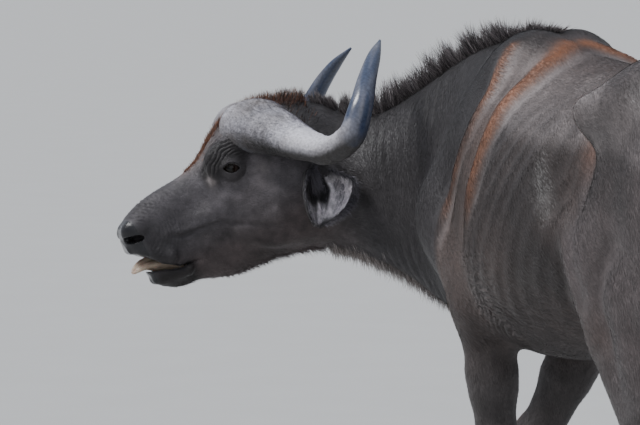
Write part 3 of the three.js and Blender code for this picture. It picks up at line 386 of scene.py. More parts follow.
JOINTS = ("elbow", "knee", "fetlock", "foot")
LEGS = {
    "foreleg_left": dict(side=1, **foreleg(-12, 142)),
    "foreleg_right": dict(side=-1, **foreleg(310, 92)),
    "hindleg_left": dict(side=1, **hindleg(70, 160)),
    "hindleg_right": dict(side=-1, **hindleg(-60, 160)),
}
for leg in LEGS.values():
    if leg["side"] < 0:
        leg["upper"] = [form.mirrored() for form in leg["upper"]]
        leg["lower"] = [form.mirrored() for form in leg["lower"]]
        for joint in JOINTS:
            x, y, z = leg[joint]
            leg[joint] = (x, -y, z)

HEAD_FORMS = [
    (ball((6, 86, 6), (46, 27, 38)), 26),
    (limb((-40, 80, 48), (22, 75, 40), 20, 15), 30),
    (ball((-60, 66, -130), (104, 36, 88)), 40),
    (limb((20, 72, -62), (120, 52, -78), 22, 14), 36),
    (ball((262, 36, -26), (34, 26, 26)), 16),
    (limb((286, 22, -66), (215, 50, -118), 17, 15), 22),
    (limb((262, 24, -152), (190, 40, -166), 15, 14), 20),
]


def head_field(q):
    """distance to the head without its details, at points of the slanted head frame"""
    a, v, n = q.T
    level = head_widest(a)
    above = np.maximum(6, head_top(a) - level)
    below = np.maximum(6, level - head_bottom(a))
    d = section_distance(v, n - level, head_half(a), above, below, 2.4, 1.9)
    for form, width in HEAD_FORMS:
        d = form.joined(d, one_sided(q), width)
    return np.maximum(d, np.maximum(HEAD_START - a, a - HEAD_END))


def body_field(p):
    """the trunk with its muscles and legs at points of the straight frame"""
    d = trunk_field(p)
    for form in LEFT_TRUNK_FORMS:
        d = form.joined(d, p, MUSCLE_BLEND)
        d = form.mirrored().joined(d, p, MUSCLE_BLEND)
    for form in MIDDLE_TRUNK_FORMS:
        d = form.joined(d, p, MUSCLE_BLEND)
    for leg in LEGS.values():
        mine = p[:, 1] * leg["side"] >= -MIDLINE_OVERLAP
        points, distances = p[mine], d[mine]
        for form in leg["upper"]:
            distances = form.joined(distances, points, MUSCLE_BLEND)
        d[mine] = distances
    for leg in LEGS.values():
        for form in leg["lower"]:
            d = form.joined(d, p, LIMB_BLEND)
    return d


# Ears, tail, and the openings of the head

TAIL_PATH = [
    (-740, 0, 1268, 46), (-800, 0, 1262, 44), (-850, 0, 1245, 38), (-886, 0, 1200, 31),
    (-903, 2, 1130, 25), (-908, 4, 1060, 22), (-907, 6, 960, 19), (-906, 8, 880, 17),
    (-907, 9, 790, 15), (-908, 10, 700, 16), (-910, 11, 650, 14), (-911, 12, 606, 8),
]
TAIL_BLEND, TEAT_BLEND, HIP_BLEND, FLANK_BLEND = 24, 12, 70, 80
BODY_COAT, FACE_COAT = 2.5, 1.0
HOOF_TOP = 80
EAR_FOLDS = [(-0.42, 4.5), (0.02, 6), (0.4, 4)]
TEATS = [(-492, 30), (-536, 34)]
MOUTH_UPPER = [(156, -157), (203, -150), (236, -128), (256, -102), (281, -80), (330, -56)]
MOUTH_LOWER = [(330, -122), (284, -124), (262, -134), (236, -142), (203, -154)]
NOSTRIL = dict(at=(273, 47, -43), radii=(26, 14, 10), turn=28, tilt=8)
NOSTRIL_DEPTH = dict(at=(262, 36, -47), radii=(20, 22, 9), turn=28, tilt=8)
LID_RADII = (27, 25.5, 24)
FISSURE = dict(half=19.5, upper=12.5, lower=10, tilt=-4)


def unit(v):
    v = np.array(v, float)
    return v / np.linalg.norm(v)


def smooth_max(a, b, width):
    return -blend(-a, -b, width)


def smooth_cut(d, tool, width):
    """d with the inside of tool taken away, its edge rounded"""
    return smooth_max(d, -tool, width)


ear_axis = unit(EAR_TIP_DIRECTION)
ear_face = np.array(EAR_FACE_DIRECTION)
ear_face = unit(ear_face - (ear_face @ ear_axis) * ear_axis)
ear_across = np.cross(ear_axis, ear_face)
EAR_BASIS = np.stack([ear_axis, ear_across, ear_face], 1)


def ear_frame(q):
    """points of the head frame as places along, across and above the left ear"""
    return (q - EAR_ROOT) @ EAR_BASIS


def ear_shape(t):
    """curl, outer and inner radius of the ear's section at a share t of its length"""
    swell = np.sin(np.pi * np.clip(0.08 + t * 0.9, 0, 1) ** 1.2) ** 0.6
    half = mix(EAR["root"], EAR["width"] / 2 * swell + 3, np.clip(t * 2.6, 0, 1))
    curl = mix(2.2, 1.3, np.clip(t * 1.5, 0, 1))
    radius = half / np.sin(np.minimum(curl, np.pi / 2))
    return curl, radius, np.maximum(radius - EAR["wall"], radius * 0.55)


def ear_sweep(t):
    """how far the ear's middle line has swept forward at a share t of its length"""
    return 24 * np.clip((t - 0.25) / 0.75, 0, 1) ** 1.5


def ear_field(q):
    """distance to the left ear's shell, for points of the head frame"""
    along, across, face = ear_frame(q).T
    t = np.clip(along / EAR["length"], -0.2, 1.1)
    across = across - ear_sweep(t)
    curl, outer, inner = ear_shape(np.clip(t, 0, 1))
    r = np.hypot(across, outer - face)
    angle = np.abs(np.arctan2(across, outer - face))
    middle = (outer + inner) / 2
    rim = np.clip(angle / curl, 0, 1)
    turned = np.arctan2(across, outer - face) / curl
    inner_folds = sum(
        high * np.exp(-((turned - at - 0.1 * np.sin(4 * t)) / 0.09) ** 2) for at, high in EAR_FOLDS)
    shell = np.abs(r - middle) - (outer - inner) / 2 * (1.05 - 0.35 * rim ** 3)
    shell = np.where(r < middle, shell - inner_folds * np.clip(4 * t * (1.05 - t), 0, 1), shell)
    side = (angle - curl) * middle
    end = np.maximum(-t, t - 1) * EAR["length"]
    return smooth_max(smooth_max(shell, side, 3), end, 3), t


def turned_ball(form, side, q):
    """distance to a ball turned outwards and tilted in the head frame"""
    turned = turn(Z_AXIS, -side * form["turn"]) @ turn(Y_AXIS, form["tilt"])
    a, v, n = form["at"]
    centre = from_slant(np.array([[a, side * v, n]]))[0]
    return ball((0, 0, 0), form["radii"]).distance((q - centre) @ turned)


def polygon_distance(x, y, corners):
    """signed distance to a closed outline, negative inside"""
    corners = np.array(corners, float)
    best = np.full(len(x), 1e9)
    inside = np.zeros(len(x), bool)
    for (ax, ay), (bx, by) in zip(corners, np.roll(corners, -1, 0)):
        ex, ey = bx - ax, by - ay
        t = np.clip(((x - ax) * ex + (y - ay) * ey) / (ex * ex + ey * ey), 0, 1)
        best = np.minimum(best, np.hypot(x - ax - t * ex, y - ay - t * ey))
        crosses = (ay > y) != (by > y)
        with np.errstate(divide="ignore", invalid="ignore"):
            at = ax + (y - ay) * ex / (by - ay if by != ay else 1e-9)
        inside ^= crosses & (x < at)
    return np.where(inside, -best, best)


def fissure_distance(u, w):
    """distance to the almond between the lids, in the head's side plane"""
    half = FISSURE["half"]
    tilt = math.radians(FISSURE["tilt"])
    x = u * math.cos(tilt) + w * math.sin(tilt)
    y = w * math.cos(tilt) - u * math.sin(tilt)

    def cap(height, sign):
        radius = (height ** 2 + half ** 2) / (2 * height)
        return np.hypot(x, y * sign - (height - radius)) - radius

    return np.maximum(cap(FISSURE["upper"], 1), cap(FISSURE["lower"], -1))


def head_details(d, q):
    """ears and lids added and nostrils, mouth and eye openings cut, in the head frame"""
    for side in (1, -1):
        mirrored = q * (1, side, 1)
        ear, t = ear_field(mirrored)
        width = 16 * np.clip(1 - t * 3.2, 0.03, 1)
        d = blend(d, ear, width)
        eye = mirrored - (0, EYE_SPREAD, 0)
        near = length(eye) < 90
        lids = ball((0, 0, 0), LID_RADII).distance(eye[near])
        flare = 1 + 0.012 * np.clip(eye[near, 1] - EYE_RADIUS * 0.8, 0, 12)
        almond = fissure_distance(eye[near, 0] / flare, eye[near, 2] / flare)
        opened = smooth_cut(blend(d[near], lids, 12), np.maximum(almond, -eye[near, 1]), 3.2)
        d[near] = np.maximum(opened, EYE_RADIUS + 0.3 - length(eye[near]))
        for nostril in (NOSTRIL, NOSTRIL_DEPTH):
            d = smooth_cut(d, turned_ball(nostril, side, q), 5)
    slant = to_slant(q)
    mouth = polygon_distance(slant[:, 0], slant[:, 2], MOUTH_UPPER + MOUTH_LOWER)
    return smooth_cut(d, mouth, 10)


def curve_points(stops, count):
    """points on a smooth path through stops, and the share of the way for each"""
    stops = np.array(stops, float)
    stops = np.concatenate([[2 * stops[0] - stops[1]], stops, [2 * stops[-1] - stops[-2]]])
    share = np.linspace(0, 1, count)
    place = share * (len(stops) - 3)
    i = np.minimum(place.astype(int), len(stops) - 4)
    t = (place - i)[:, None]
    p0, p1, p2, p3 = (stops[i + k] for k in range(4))
    g0, g1, g2 = (np.sqrt(length(b - a))[:, None] for a, b in ((p0, p1), (p1, p2), (p2, p3)))
    m1 = ((p1 - p0) / g0 - (p2 - p0) / (g0 + g1) + (p2 - p1) / g1) * g1
    m2 = ((p2 - p1) / g1 - (p3 - p1) / (g1 + g2) + (p3 - p2) / g2) * g1
    rise = t * t * (3 - 2 * t)
    return p1 + (p2 - p1) * rise + t * (1 - t) ** 2 * m1 + t * t * (t - 1) * m2, share


TAIL_CURVE, tail_share = curve_points(np.array(TAIL_PATH, float)[:, :3], 34)
TAIL_RADII = np.interp(tail_share, np.linspace(0, 1, len(TAIL_PATH)), [stop[3] for stop in TAIL_PATH])
TAIL_FORMS = [
    limb(a, b, r0, r1) for a, b, r0, r1 in zip(TAIL_CURVE, TAIL_CURVE[1:], TAIL_RADII, TAIL_RADII[1:])
]
FLANK_HOLLOW = ball((-300, 268, 1130), (112, 38, 92))
HIP_FORM = limb((-438, 202, 1230), (-570, 150, 1262), 44, 48)
POLL_HOLLOW = ball((-330, 0, 128), (120, 150, 62))
POLL_END = -300
TEAT_FORMS = [ball((x, y * side, 722), (9, 9, 24)) for x, y in TEATS for side in (1, -1)]


def skin_field(p):
    """distance to the whole skin, for points of the animal's frame in millimetres"""
    straight = unbent(p)
    d = body_field(straight)
    hips = [HIP_FORM, HIP_FORM.mirrored()]
    for forms, width in ((TAIL_FORMS, TAIL_BLEND), (TEAT_FORMS, TEAT_BLEND), (hips, HIP_BLEND)):
        for form in forms:
            d = form.joined(d, straight, width)
    for hollow in (FLANK_HOLLOW, FLANK_HOLLOW.mirrored()):
        near = ((straight > hollow.low - 90) & (straight < hollow.high + 90)).all(1)
        d[near] = smooth_cut(d[near], hollow.distance(straight[near]), FLANK_BLEND)
    d = smooth_max(d, HOOF_TOP - p[:, 2], 14) + BODY_COAT
    q = to_head(p)
    near = (q[:, 0] > HEAD_START) & (length(q) < HEAD_REACH)
    if near.any():
        close = q[near]
        slant = to_slant(close)
        head = smooth_max(head_field(slant), POLL_END - slant[:, 0], 110) + FACE_COAT
        head = smooth_cut(head, POLL_HOLLOW.distance(slant), 60)
        d[near] = head_details(blend(d[near], head, NECK_HEAD_BLEND), close)
    return d


# Smooth closed meshes from a distance field

CELL_CORNERS = np.array([(i, j, k) for i in (0, 1) for j in (0, 1) for k in (0, 1)])
CELL_EDGES = [
    (a, b) for a in range(8) for b in range(a + 1, 8)
    if np.abs(CELL_CORNERS[a] - CELL_CORNERS[b]).sum() == 1
]


def sampled(field, low, counts, step, ratio=4):
    """field values on a grid: exact near the surface, roughly right in sign elsewhere"""
    cells = -(-counts // ratio)
    centres = np.stack(np.meshgrid(*(np.arange(n) for n in cells), indexing="ij"), -1).reshape(-1, 3)
    middle = field(low + (centres * ratio + ratio / 2 - 0.5) * step)
    values = middle.reshape(cells)
    for axis in range(3):
        values = values.repeat(ratio, axis)
    values = values[: counts[0], : counts[1], : counts[2]].copy()
    band = centres[np.abs(middle) < ratio * step * 1.35]
    inner = np.stack(np.meshgrid(*(np.arange(ratio),) * 3, indexing="ij"), -1).reshape(-1, 3)
    for part in np.array_split(band, max(1, len(band) // 12000)):
        points = (part[:, None] * ratio + inner[None]).reshape(-1, 3)
        points = points[(points < counts).all(1)]
        values[tuple(points.T)] = field(low + points * step)
    return values


def surface_net(field, low, high, step):
    """points and four-sided faces of the field's zero surface inside a box"""
    low = np.array(low, float)
    counts = np.ceil((np.array(high) - low) / step).astype(int) + 1
    values = sampled(field, low, counts, step)
    inside = values < 0
    shape = tuple(counts - 1)
    total = np.zeros(shape, np.int8)
    for i, j, k in CELL_CORNERS:
        total += inside[i:i + shape[0], j:j + shape[1], k:k + shape[2]]
    cells = np.stack(np.nonzero((total > 0) & (total < 8)), 1)
    corner_values = np.stack([values[tuple((cells + c).T)] for c in CELL_CORNERS], 1)
    place = np.zeros((len(cells), 3))
    crossings = np.zeros(len(cells))
    for a, b in CELL_EDGES:
        va, vb = corner_values[:, a], corner_values[:, b]
        cut = (va < 0) != (vb < 0)
        t = (va[cut] / (va[cut] - vb[cut]))[:, None]
        place[cut] += CELL_CORNERS[a] + t * (CELL_CORNERS[b] - CELL_CORNERS[a])
        crossings[cut] += 1
    points = low + (cells + place / crossings[:, None]) * step
    number = np.full(shape, -1, np.int32)
    number[tuple(cells.T)] = np.arange(len(cells))
    faces = []
    for axis in range(3):
        one, two = (axis + 1) % 3, (axis + 2) % 3
        start = [slice(None)] * 3
        start[axis] = slice(0, -1)
        end = [slice(None)] * 3
        end[axis] = slice(1, None)
        first, second = inside[tuple(start)], inside[tuple(end)]
        edges = np.stack(np.nonzero(first != second), 1)
        good = ((edges[:, [one, two]] > 0) & (edges[:, [one, two]] < np.array(shape)[[one, two]])).all(1)
        edges = edges[good]
        ring = []
        for da, db in ((-1, -1), (0, -1), (0, 0), (-1, 0)):
            cell = edges.copy()
            cell[:, one] += da
            cell[:, two] += db
            ring.append(number[tuple(cell.T)])
        quads = np.stack(ring, 1)
        outward = first[tuple(edges.T)]
        quads[~outward] = quads[~outward][:, ::-1]
        faces.append(quads)
    return points, np.concatenate(faces), cells, shape


def settled(field, points, reach=1.0, rounds=3, limit=4.0):
    """points moved onto the field's zero surface"""
    points = points.copy()
    for _ in range(rounds):
        slope = field_slope(field, points, reach)
        steep = np.maximum(dot(slope, slope), 0.2)
        points -= slope * np.clip(field(points) / steep, -limit, limit)[:, None]
    return points


def field_slope(field, points, reach=1.0):
    """the direction in which the field grows, from values a little to each side"""
    steps = np.eye(3) * reach
    return np.stack([(field(points + s) - field(points - s)) / (2 * reach) for s in steps], 1)


# Blender meshes

eye_corners = [np.array(corner) for eye in ("eye_left", "eye_right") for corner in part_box(eye)]
LIFT = np.array(HEAD_ORIGIN) - 1000 * sum(eye_corners) / 4


def to_frame(points):
    """animal frame, millimetres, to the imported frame, metres"""
    return (points - (LIFT[0], LIFT[1], 0)) * 0.001


def mesh_piece(name, points, faces, material, replaced=()):
    """A mesh object from points of the animal's frame that rides on the body."""
    faces = [np.asarray(group) for group in faces if len(group)]
    corners = np.concatenate([group.ravel() for group in faces])
    sizes = np.concatenate([np.full(len(group), group.shape[1]) for group in faces])
    mesh = bpy.data.meshes.new(name)
    mesh.vertices.add(len(points))
    mesh.vertices.foreach_set("co", to_frame(points).astype(np.float32).ravel())
    mesh.loops.add(len(corners))
    mesh.loops.foreach_set("vertex_index", corners.astype(np.int32))
    mesh.polygons.add(len(sizes))
    starts = np.concatenate([[0], np.cumsum(sizes)[:-1]])
    mesh.polygons.foreach_set("loop_start", starts.astype(np.int32))
    mesh.update(calc_edges=True)
    mesh.validate()
    mesh.polygons.foreach_set("use_smooth", np.full(len(sizes), True))
    mesh.materials.append(material)
    piece = bpy.data.objects.new(name, mesh)
    bpy.context.scene.collection.objects.link(piece)
    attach(piece, "root")
    if replaced:
        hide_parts(*replaced)
    return piece


def paint(piece, name, colours):
    """A colour for each point of a piece, read by its material."""
    layer = piece.data.color_attributes.new(name=name, type="FLOAT_COLOR", domain="POINT")
    rgba = np.ones((len(colours), 4), np.float32)
    rgba[:, :3] = colours
    layer.data.foreach_set("color", rgba.ravel())


def measure(piece, name, values):
    """A number for each point of a piece, read by its material."""
    layer = piece.data.attributes.new(name, "FLOAT", "POINT")
    layer.data.foreach_set("value", values.astype(np.float32))


def tube(rings):
    """points and faces of a closed tube through rings of points"""
    count, sides = rings.shape[:2]
    points = np.concatenate([rings.reshape(-1, 3), [rings[0].mean(0), rings[-1].mean(0)]])
    i, j = np.meshgrid(np.arange(count - 1), np.arange(sides), indexing="ij")
    a = (i * sides + j).ravel()
    b = (i * sides + (j + 1) % sides).ravel()
    quads = np.stack([a, b, b + sides, a + sides], 1)
    j = np.arange(sides)
    following = (j + 1) % sides
    first, row = count * sides, (count - 1) * sides
    start = np.stack([np.full(sides, first), following, j], 1)
    end = np.stack([np.full(sides, first + 1), row + j, row + following], 1)
    triangles = np.concatenate([start, end])
    volume = sum(
        dot(points[a], np.cross(points[b], points[c])).sum()
        for a, b, c in (triangles.T, quads.T[[0, 1, 2]], quads.T[[0, 2, 3]]))
    if volume < 0:
        quads, triangles = quads[:, ::-1], triangles[:, ::-1]
    return points, [quads, triangles]


def hashed(cells, seed):
    """a repeatable draw between 0 and 1 for each whole-number cell"""
    h = cells.astype(np.int64) * (73856093, 19349663, 83492791)
    h = (h[:, 0] ^ h[:, 1] ^ h[:, 2]) + seed * 2654435
    h = (h ^ (h >> 13)) * 1274126177
    return ((h ^ (h >> 16)) & 0xFFFFF) / 0xFFFFF


def noise(points, size, seed=1):
    """smooth noise between -1 and 1 with features of a given size"""
    p = points / size
    base = np.floor(p)
    f = p - base
    f = f * f * (3 - 2 * f)
    total = np.zeros(len(p))
    for corner in CELL_CORNERS:
        weight = np.prod(np.where(corner, f, 1 - f), 1)
        total += weight * hashed(base + corner, seed)
    return total * 2 - 1


# The skin: a coarse net for the body and a fine one for the head, zipped together

SEAM = 400
BODY_STEP = 7.5
HEAD_STEP = 2.8
BODY_BOX = ((-965, SEAM - 107 * BODY_STEP, 62), (965, SEAM, 1430))
HEAD_BOX = ((655, SEAM, 785), (1150, 1075, 1305))


def border_loop(faces, layer_cells):
    """the points of the open border that lies in one layer of cells, in order"""
    quads = faces[layer_cells[faces].sum(1) >= 2]
    used = {}
    for quad in quads:
        for a, b in zip(quad, np.roll(quad, -1)):
            if layer_cells[a] and layer_cells[b]:
                key = (min(a, b), max(a, b))
                used[key] = used.get(key, 0) + 1
    beside = {}
    for (a, b), count in used.items():
        if count == 1:
            beside.setdefault(a, []).append(b)
            beside.setdefault(b, []).append(a)
    start = next(iter(beside))
    loop, before, here = [start], None, start
    while True:
        onward = [n for n in beside[here] if n != before]
        if not onward or onward[0] == start:
            break
        before, here = here, onward[0]
        loop.append(here)
    return np.array(loop)


def turned_order(points, loop, centre):
    """the loop from its lowest angle onwards round a centre, with its angles"""
    angle = np.arctan2(points[loop, 2] - centre[2], points[loop, 0] - centre[0])
    start = int(np.argmin(angle))
    loop, angle = np.roll(loop, -start), np.roll(angle, -start)
    if np.median(np.diff(angle)) < 0:
        loop, angle = np.roll(loop[::-1], 1), np.roll(angle[::-1], 1)
    return loop, np.maximum.accumulate(angle)


def zipped(points, one, two):
    """triangles between two loops that face each other"""
    centre = points[one].mean(0)
    one, first = turned_order(points, one, centre)
    two, second = turned_order(points, two, centre)
    triangles = []
    i = j = 0
    while i < len(one) or j < len(two):
        next_one = first[(i + 1) % len(one)] + (2 * np.pi if i + 1 >= len(one) else 0)
        next_two = second[(j + 1) % len(two)] + (2 * np.pi if j + 1 >= len(two) else 0)
        if j >= len(two) or (i < len(one) and next_one <= next_two):
            triangles.append((one[i % len(one)], one[(i + 1) % len(one)], two[j % len(two)]))
            i += 1
        else:
            triangles.append((one[i % len(one)], two[(j + 1) % len(two)], two[j % len(two)]))
            j += 1
    return np.array(triangles)


# Relief: folds, creases and ridges, as heights above the smooth skin

def path_distance(points, stops):
    """distance to a path of straight pieces, and the share of the way at the nearest place"""
    stops = np.array(stops, float)
    best = np.full(len(points), 1e9)
    share = np.zeros(len(points))
    for k, (a, b) in enumerate(zip(stops, stops[1:])):
        run = b - a
        t = np.clip((points - a) @ run / (run @ run), 0, 1)
        away = length(points - a - t[:, None] * run)
        nearer = away < best
        best = np.where(nearer, away, best)
        share = np.where(nearer, (k + t) / (len(stops) - 1), share)
    return best, share


def hump(x, width):
    return np.exp(-(x / width) ** 2)


def between(x, low, high, edge):
    """1 inside a range and 0 outside, with soft edges"""
    rise = np.clip((x - low) / edge + 0.5, 0, 1)
    fall = np.clip((high - x) / edge + 0.5, 0, 1)
    return rise * rise * (3 - 2 * rise) * fall * fall * (3 - 2 * fall)


def furrows(phase):
    """a wave with narrow valleys and round ridges"""
    return 1 - 2 * np.abs(np.cos(np.pi * phase)) ** 5


FRONT_RIDGE = [
    (325, 127, 1365), (320, 180, 1268), (330, 215, 1180), (400, 223, 1087), (444, 231, 996), (476, 236, 927),
]
REAR_RIDGE = [
    (235, 20, 1372), (190, 85, 1337), (170, 158, 1290), (196, 205, 1230), (195, 250, 1141), (184, 290, 1054),
    (190, 300, 960),
]
FLANK_FOLD = [(-247, 261, 1095), (-318, 257, 992), (-391, 240, 882), (-420, 215, 800)]
HIP_RIM = [(-404, 232, 1216), (-426, 230, 1262), (-490, 188, 1294), (-570, 140, 1312)]
HIP_EDGE = [(-45, 79, 1322), (-130, 139, 1290), (-250, 191, 1232), (-300, 215, 1190)]
RIDGES = [(FRONT_RIDGE, 7, 20), (REAR_RIDGE, 9, 26), (FLANK_FOLD, 8, 24), (HIP_EDGE, 6, 20)]
CHEEK_GROOVE = [
    (196, 42, -74), (167, 50, -90), (125, 66, -92), (81, 74, -100), (19, 93, -136), (-41, 102, -170),
]
BROW_ARC = [(58, 84, 14), (45, 88, 36), (12, 90, 60), (-22, 93, 66), (-50, 96, 60)]
TEAR_GROOVE = [(24, 106, 4), (38, 96, -8), (58, 82, -26)]
ELBOW = (120, 285, 790)


def body_relief(s):
    """height at points of the straight frame, the same on both sides"""
    s = one_sided(s)
    x, y, z = s.T
    height = np.zeros(len(s))
    for path, high, width in RIDGES:
        away, share = path_distance(s, path)
        ends = between(share, 0.02, 0.93, 0.25)
        height += ends * (high * hump(away, width) - 0.45 * high * hump(away - 2.1 * width, width))
    lean = x + 0.42 * (z - 1000) + 10 * noise(s, 120, 11)
    ribs = between(x, -330, 210, 160) * between(z, 830, 1230, 170) * between(y, 120, 400, 100)
    height += (0.9 + 0.5 * noise(s, 160, 18)) * ribs * np.cos(2 * np.pi * lean / 66)
    warped = x + 0.22 * (1050 - z) + 16 * noise(s, 90, 12)
    neck = between(x, 560, 905, 90) * between(y, 40, 400, 50)
    strength = 0.55 + 0.45 * noise(s, 70, 13)
    height += neck * strength * 1.5 * (furrows(warped / 34) - 0.5)
    from_elbow = s - ELBOW
    fan = np.hypot(from_elbow[:, 0] + 40, from_elbow[:, 2] + 190) + 9 * noise(s, 40, 14)
    near = hump(length(from_elbow), 105) * between(y, 200, 400, 60)
    height += near * 3.2 * (furrows(fan / 14.5) - 0.4)
    skirt = between(x, 480, 760, 120) * between(z, 640, 800, 80)
    height += skirt * 2.0 * np.cos(2 * np.pi * (x + 12 * noise(s, 60, 15)) / 38)
    return height + 1.1 * noise(s, 46, 16) + 2.6 * noise(s, 140, 17)


def eye_reach(a, n):
    """distance from the eye's middle in the side view"""
    return np.hypot((a + 3) * 0.94, n - 1)


def on_head(q, start, edge):
    """1 on the head and 0 on the body, with a soft change behind the head's start"""
    slant = to_slant(q)
    share = between(slant[:, 0], start, 500, edge) * (length(q) < HEAD_REACH)
    return share * between(slant[:, 2], -330, 400, 60), slant


def head_relief(s):
    """height at points of the slanted head frame, the same on both sides"""
    s = one_sided(s)
    a, v, n = s.T
    side = between(v, 46, 200, 26)
    height = np.zeros(len(s))
    wobble = noise(s, 24, 21)
    r = eye_reach(a, n)
    sideways = (1, 0.35, 1)
    away, share = path_distance(s * sideways, np.array(BROW_ARC) * sideways)
    inner = np.clip((84 - r) / 14, 0, 1) * np.clip((r - 27) / 7, 0, 1) * between(share, 0.03, 0.99, 0.2)
    uneven = away + 3.4 * wobble + 1.5 * noise(s, 11, 27)
    under = between(n - 0.12 * a, -4, 90, 24)
    height += side * under * inner * (2.0 - 0.01 * away) * (furrows(uneven / 7.4 + 0.35) - 0.3)
    height += side * 3.6 * hump(away, 9) * between(share, 0.05, 0.95, 0.3)
    below = between(n, -60, -6, 14) * between(a, -34, 44, 26)
    height -= side * below * (1.3 * hump(r - 33 - 2 * wobble, 3.2) + 0.8 * hump(r - 45 - 3 * wobble, 4))
    away, share = path_distance(s, TEAR_GROOVE)
    height -= 3.4 * hump(away, 5.5) * (1 - 0.7 * share)
    away, share = path_distance(s, CHEEK_GROOVE)
    height += (1 - 0.65 * share) * (2.4 * hump(away - 11, 7) - 4.2 * hump(away, 6))
    r = np.hypot(a - 262, n + 40) + 4 * wobble
    behind = between(a, 120, 246, 40) * between(n, -112, 60, 34) * between(r, 30, 104, 26)
    r = r + 2.2 * noise(s, 12, 28)
    height += behind * (0.6 + 0.5 * noise(s, 30, 22)) * 1.25 * (furrows(r / 8.8) - 0.4)
    bridge = between(a, 120, 236, 40) * between(n, 0, 90, 30)
    height += bridge * 0.6 * np.cos(2 * np.pi * (a + 7 * wobble) / 12.5)
    r = np.hypot(a - 160, n + 152) + 2 * wobble
    corner = between(r, 7, 30, 10) * between(a, 100, 170, 20) * (0.5 + 0.5 * noise(s, 15, 29))
    height += corner * 0.8 * (furrows((r + 3 * noise(s, 9, 30)) / 7.6) - 0.4)
    chin = between(a, 180, 300, 30) * between(n, -230, -150, 30)
    height += chin * 1.1 * noise(s, 13, 23)
    forehead = between(a, -60, 120, 60) * between(n, 30, 130, 30) * between(v, -5, 60, 20)
    height += forehead * 1.3 * noise(s * (0.45, 1, 1), 14, 24)
    pad = between(a, 262, 330, 12)
    return height * (1 - 0.7 * pad) + 0.7 * noise(s, 17, 25) + 0.9 * noise(s, 48, 26)


def relief(p):
    """height of the folds at points of the animal's frame"""
    height = np.zeros(len(p))
    q = to_head(p)
    head, slant = on_head(q, -290, 120)
    ear, _ = ear_distance(q)
    head *= np.clip((ear - 4) / 14, 0, 1)
    lid = np.minimum(length(q - (0, EYE_SPREAD, 0)), length(q + (0, EYE_SPREAD, 0)))
    here = head > 0.001
    height[here] = head[here] * head_relief(slant[here])
    height *= np.clip((lid - 23) / 6, 0, 1)
    there = head < 0.999
    x, _, z = p[there].T
    kept = (1 - head[there]) * np.clip(ear[there] / 20, 0, 1)
    kept *= np.clip((z - 420) / 200, 0, 1) * np.clip((x + 880) / 30, 0, 1)
    height[there] += kept * body_relief(unbent(p[there]))
    height -= 0.8 * between(p[:, 2], 84, 96, 8)
    return height


def ear_distance(q):
    """distance to the nearer ear, and the share of the way along it"""
    left, left_share = ear_field(q)
    right, right_share = ear_field(q * (1, -1, 1))
    return np.minimum(left, right), np.where(left < right, left_share, right_share)


def refined(points, quads, others, chosen):
    """the chosen quads split in four, and the mid-edge points put into the faces beside them"""
    cut = quads[chosen]
    edges = np.sort(np.stack([cut, np.roll(cut, -1, 1)], 2).reshape(-1, 2), 1)
    unique, where = np.unique(edges, axis=0, return_inverse=True)
    first = len(points)
    middle = first + where.reshape(-1, 4)
    centre = first + len(unique) + np.arange(len(cut))
    points = np.concatenate([points, points[unique].mean(1), points[cut].mean(1)])
    small = np.concatenate([
        np.stack([cut[:, k], middle[:, k], centre, middle[:, k - 1]], 1) for k in range(4)])
    known = {tuple(edge): first + index for index, edge in enumerate(unique.tolist())}
    touched = np.zeros(len(points), bool)
    touched[unique] = True
    groups = {4: [small], 3: []}
    for faces in [quads[~chosen], *others]:
        beside = touched[faces].sum(1) >= 2
        groups.setdefault(faces.shape[1], []).append(faces[~beside])
        for face in faces[beside].tolist():
            ring = []
            for a, b in zip(face, face[1:] + face[:1]):
                ring.append(a)
                extra = known.get((min(a, b), max(a, b)))
                if extra is not None:
                    ring.append(extra)
            groups.setdefault(len(ring), []).append(np.array([ring]))
    return points, [np.concatenate(found) for found in groups.values() if found]


def smooth_skin():
    """points and faces of the skin before its folds"""
    body, body_faces, body_cells, body_shape = surface_net(skin_field, *BODY_BOX, BODY_STEP)
    head, head_faces, head_cells, _ = surface_net(skin_field, *HEAD_BOX, HEAD_STEP)
    body_loop = border_loop(body_faces, body_cells[:, 1] == body_shape[1] - 1)
    head_loop = border_loop(head_faces, head_cells[:, 1] == 0) + len(body)
    points = np.concatenate([body, head])
    quads = np.concatenate([body_faces, head_faces + len(body)])
    triangles = zipped(points, body_loop, head_loop)
    a, b, c = (points[triangles[:, k]] for k in range(3))
    out = field_slope(skin_field, (a + b + c) / 3)
    wrong = dot(np.cross(b - a, c - a), out) < 0
    triangles[wrong] = triangles[wrong][:, ::-1]
    points = settled(skin_field, points)
    q = to_head(points)
    slant = to_slant(q)
    fine = length(q * (1, 0, 1)) < 46
    fine |= (slant[:, 0] > 236) & (slant[:, 2] > -90)
    fine &= np.abs(q[:, 1]) < 160
    chosen = fine[quads].all(1)
    start = len(points)
    points, faces = refined(points, quads, [triangles], chosen)
    points[start:] = settled(skin_field, points[start:], 0.5)
    return points, faces


def folded_skin():
    """points and faces of the skin with its folds"""
    points, faces = smooth_skin()
    out = field_slope(skin_field, points, 1.5)
    out /= np.maximum(length(out), 0.2)[:, None]
    return points + out * relief(points)[:, None], faces


# Materials

def node_material(name, roughness, specular=0.5, **fixed):
    """A new material with its constant shader sockets set; returns it with its node tree and shader."""
    material = bpy.data.materials.new(name)
    material.use_nodes = True
    tree = material.node_tree
    shader = tree.nodes["Principled BSDF"]
    shader.inputs["Roughness"].default_value = roughness
    shader.inputs["Specular IOR Level"].default_value = specular
    for socket, value in fixed.items():
        shader.inputs[socket.replace("_", " ")].default_value = value
    return material, tree, shader


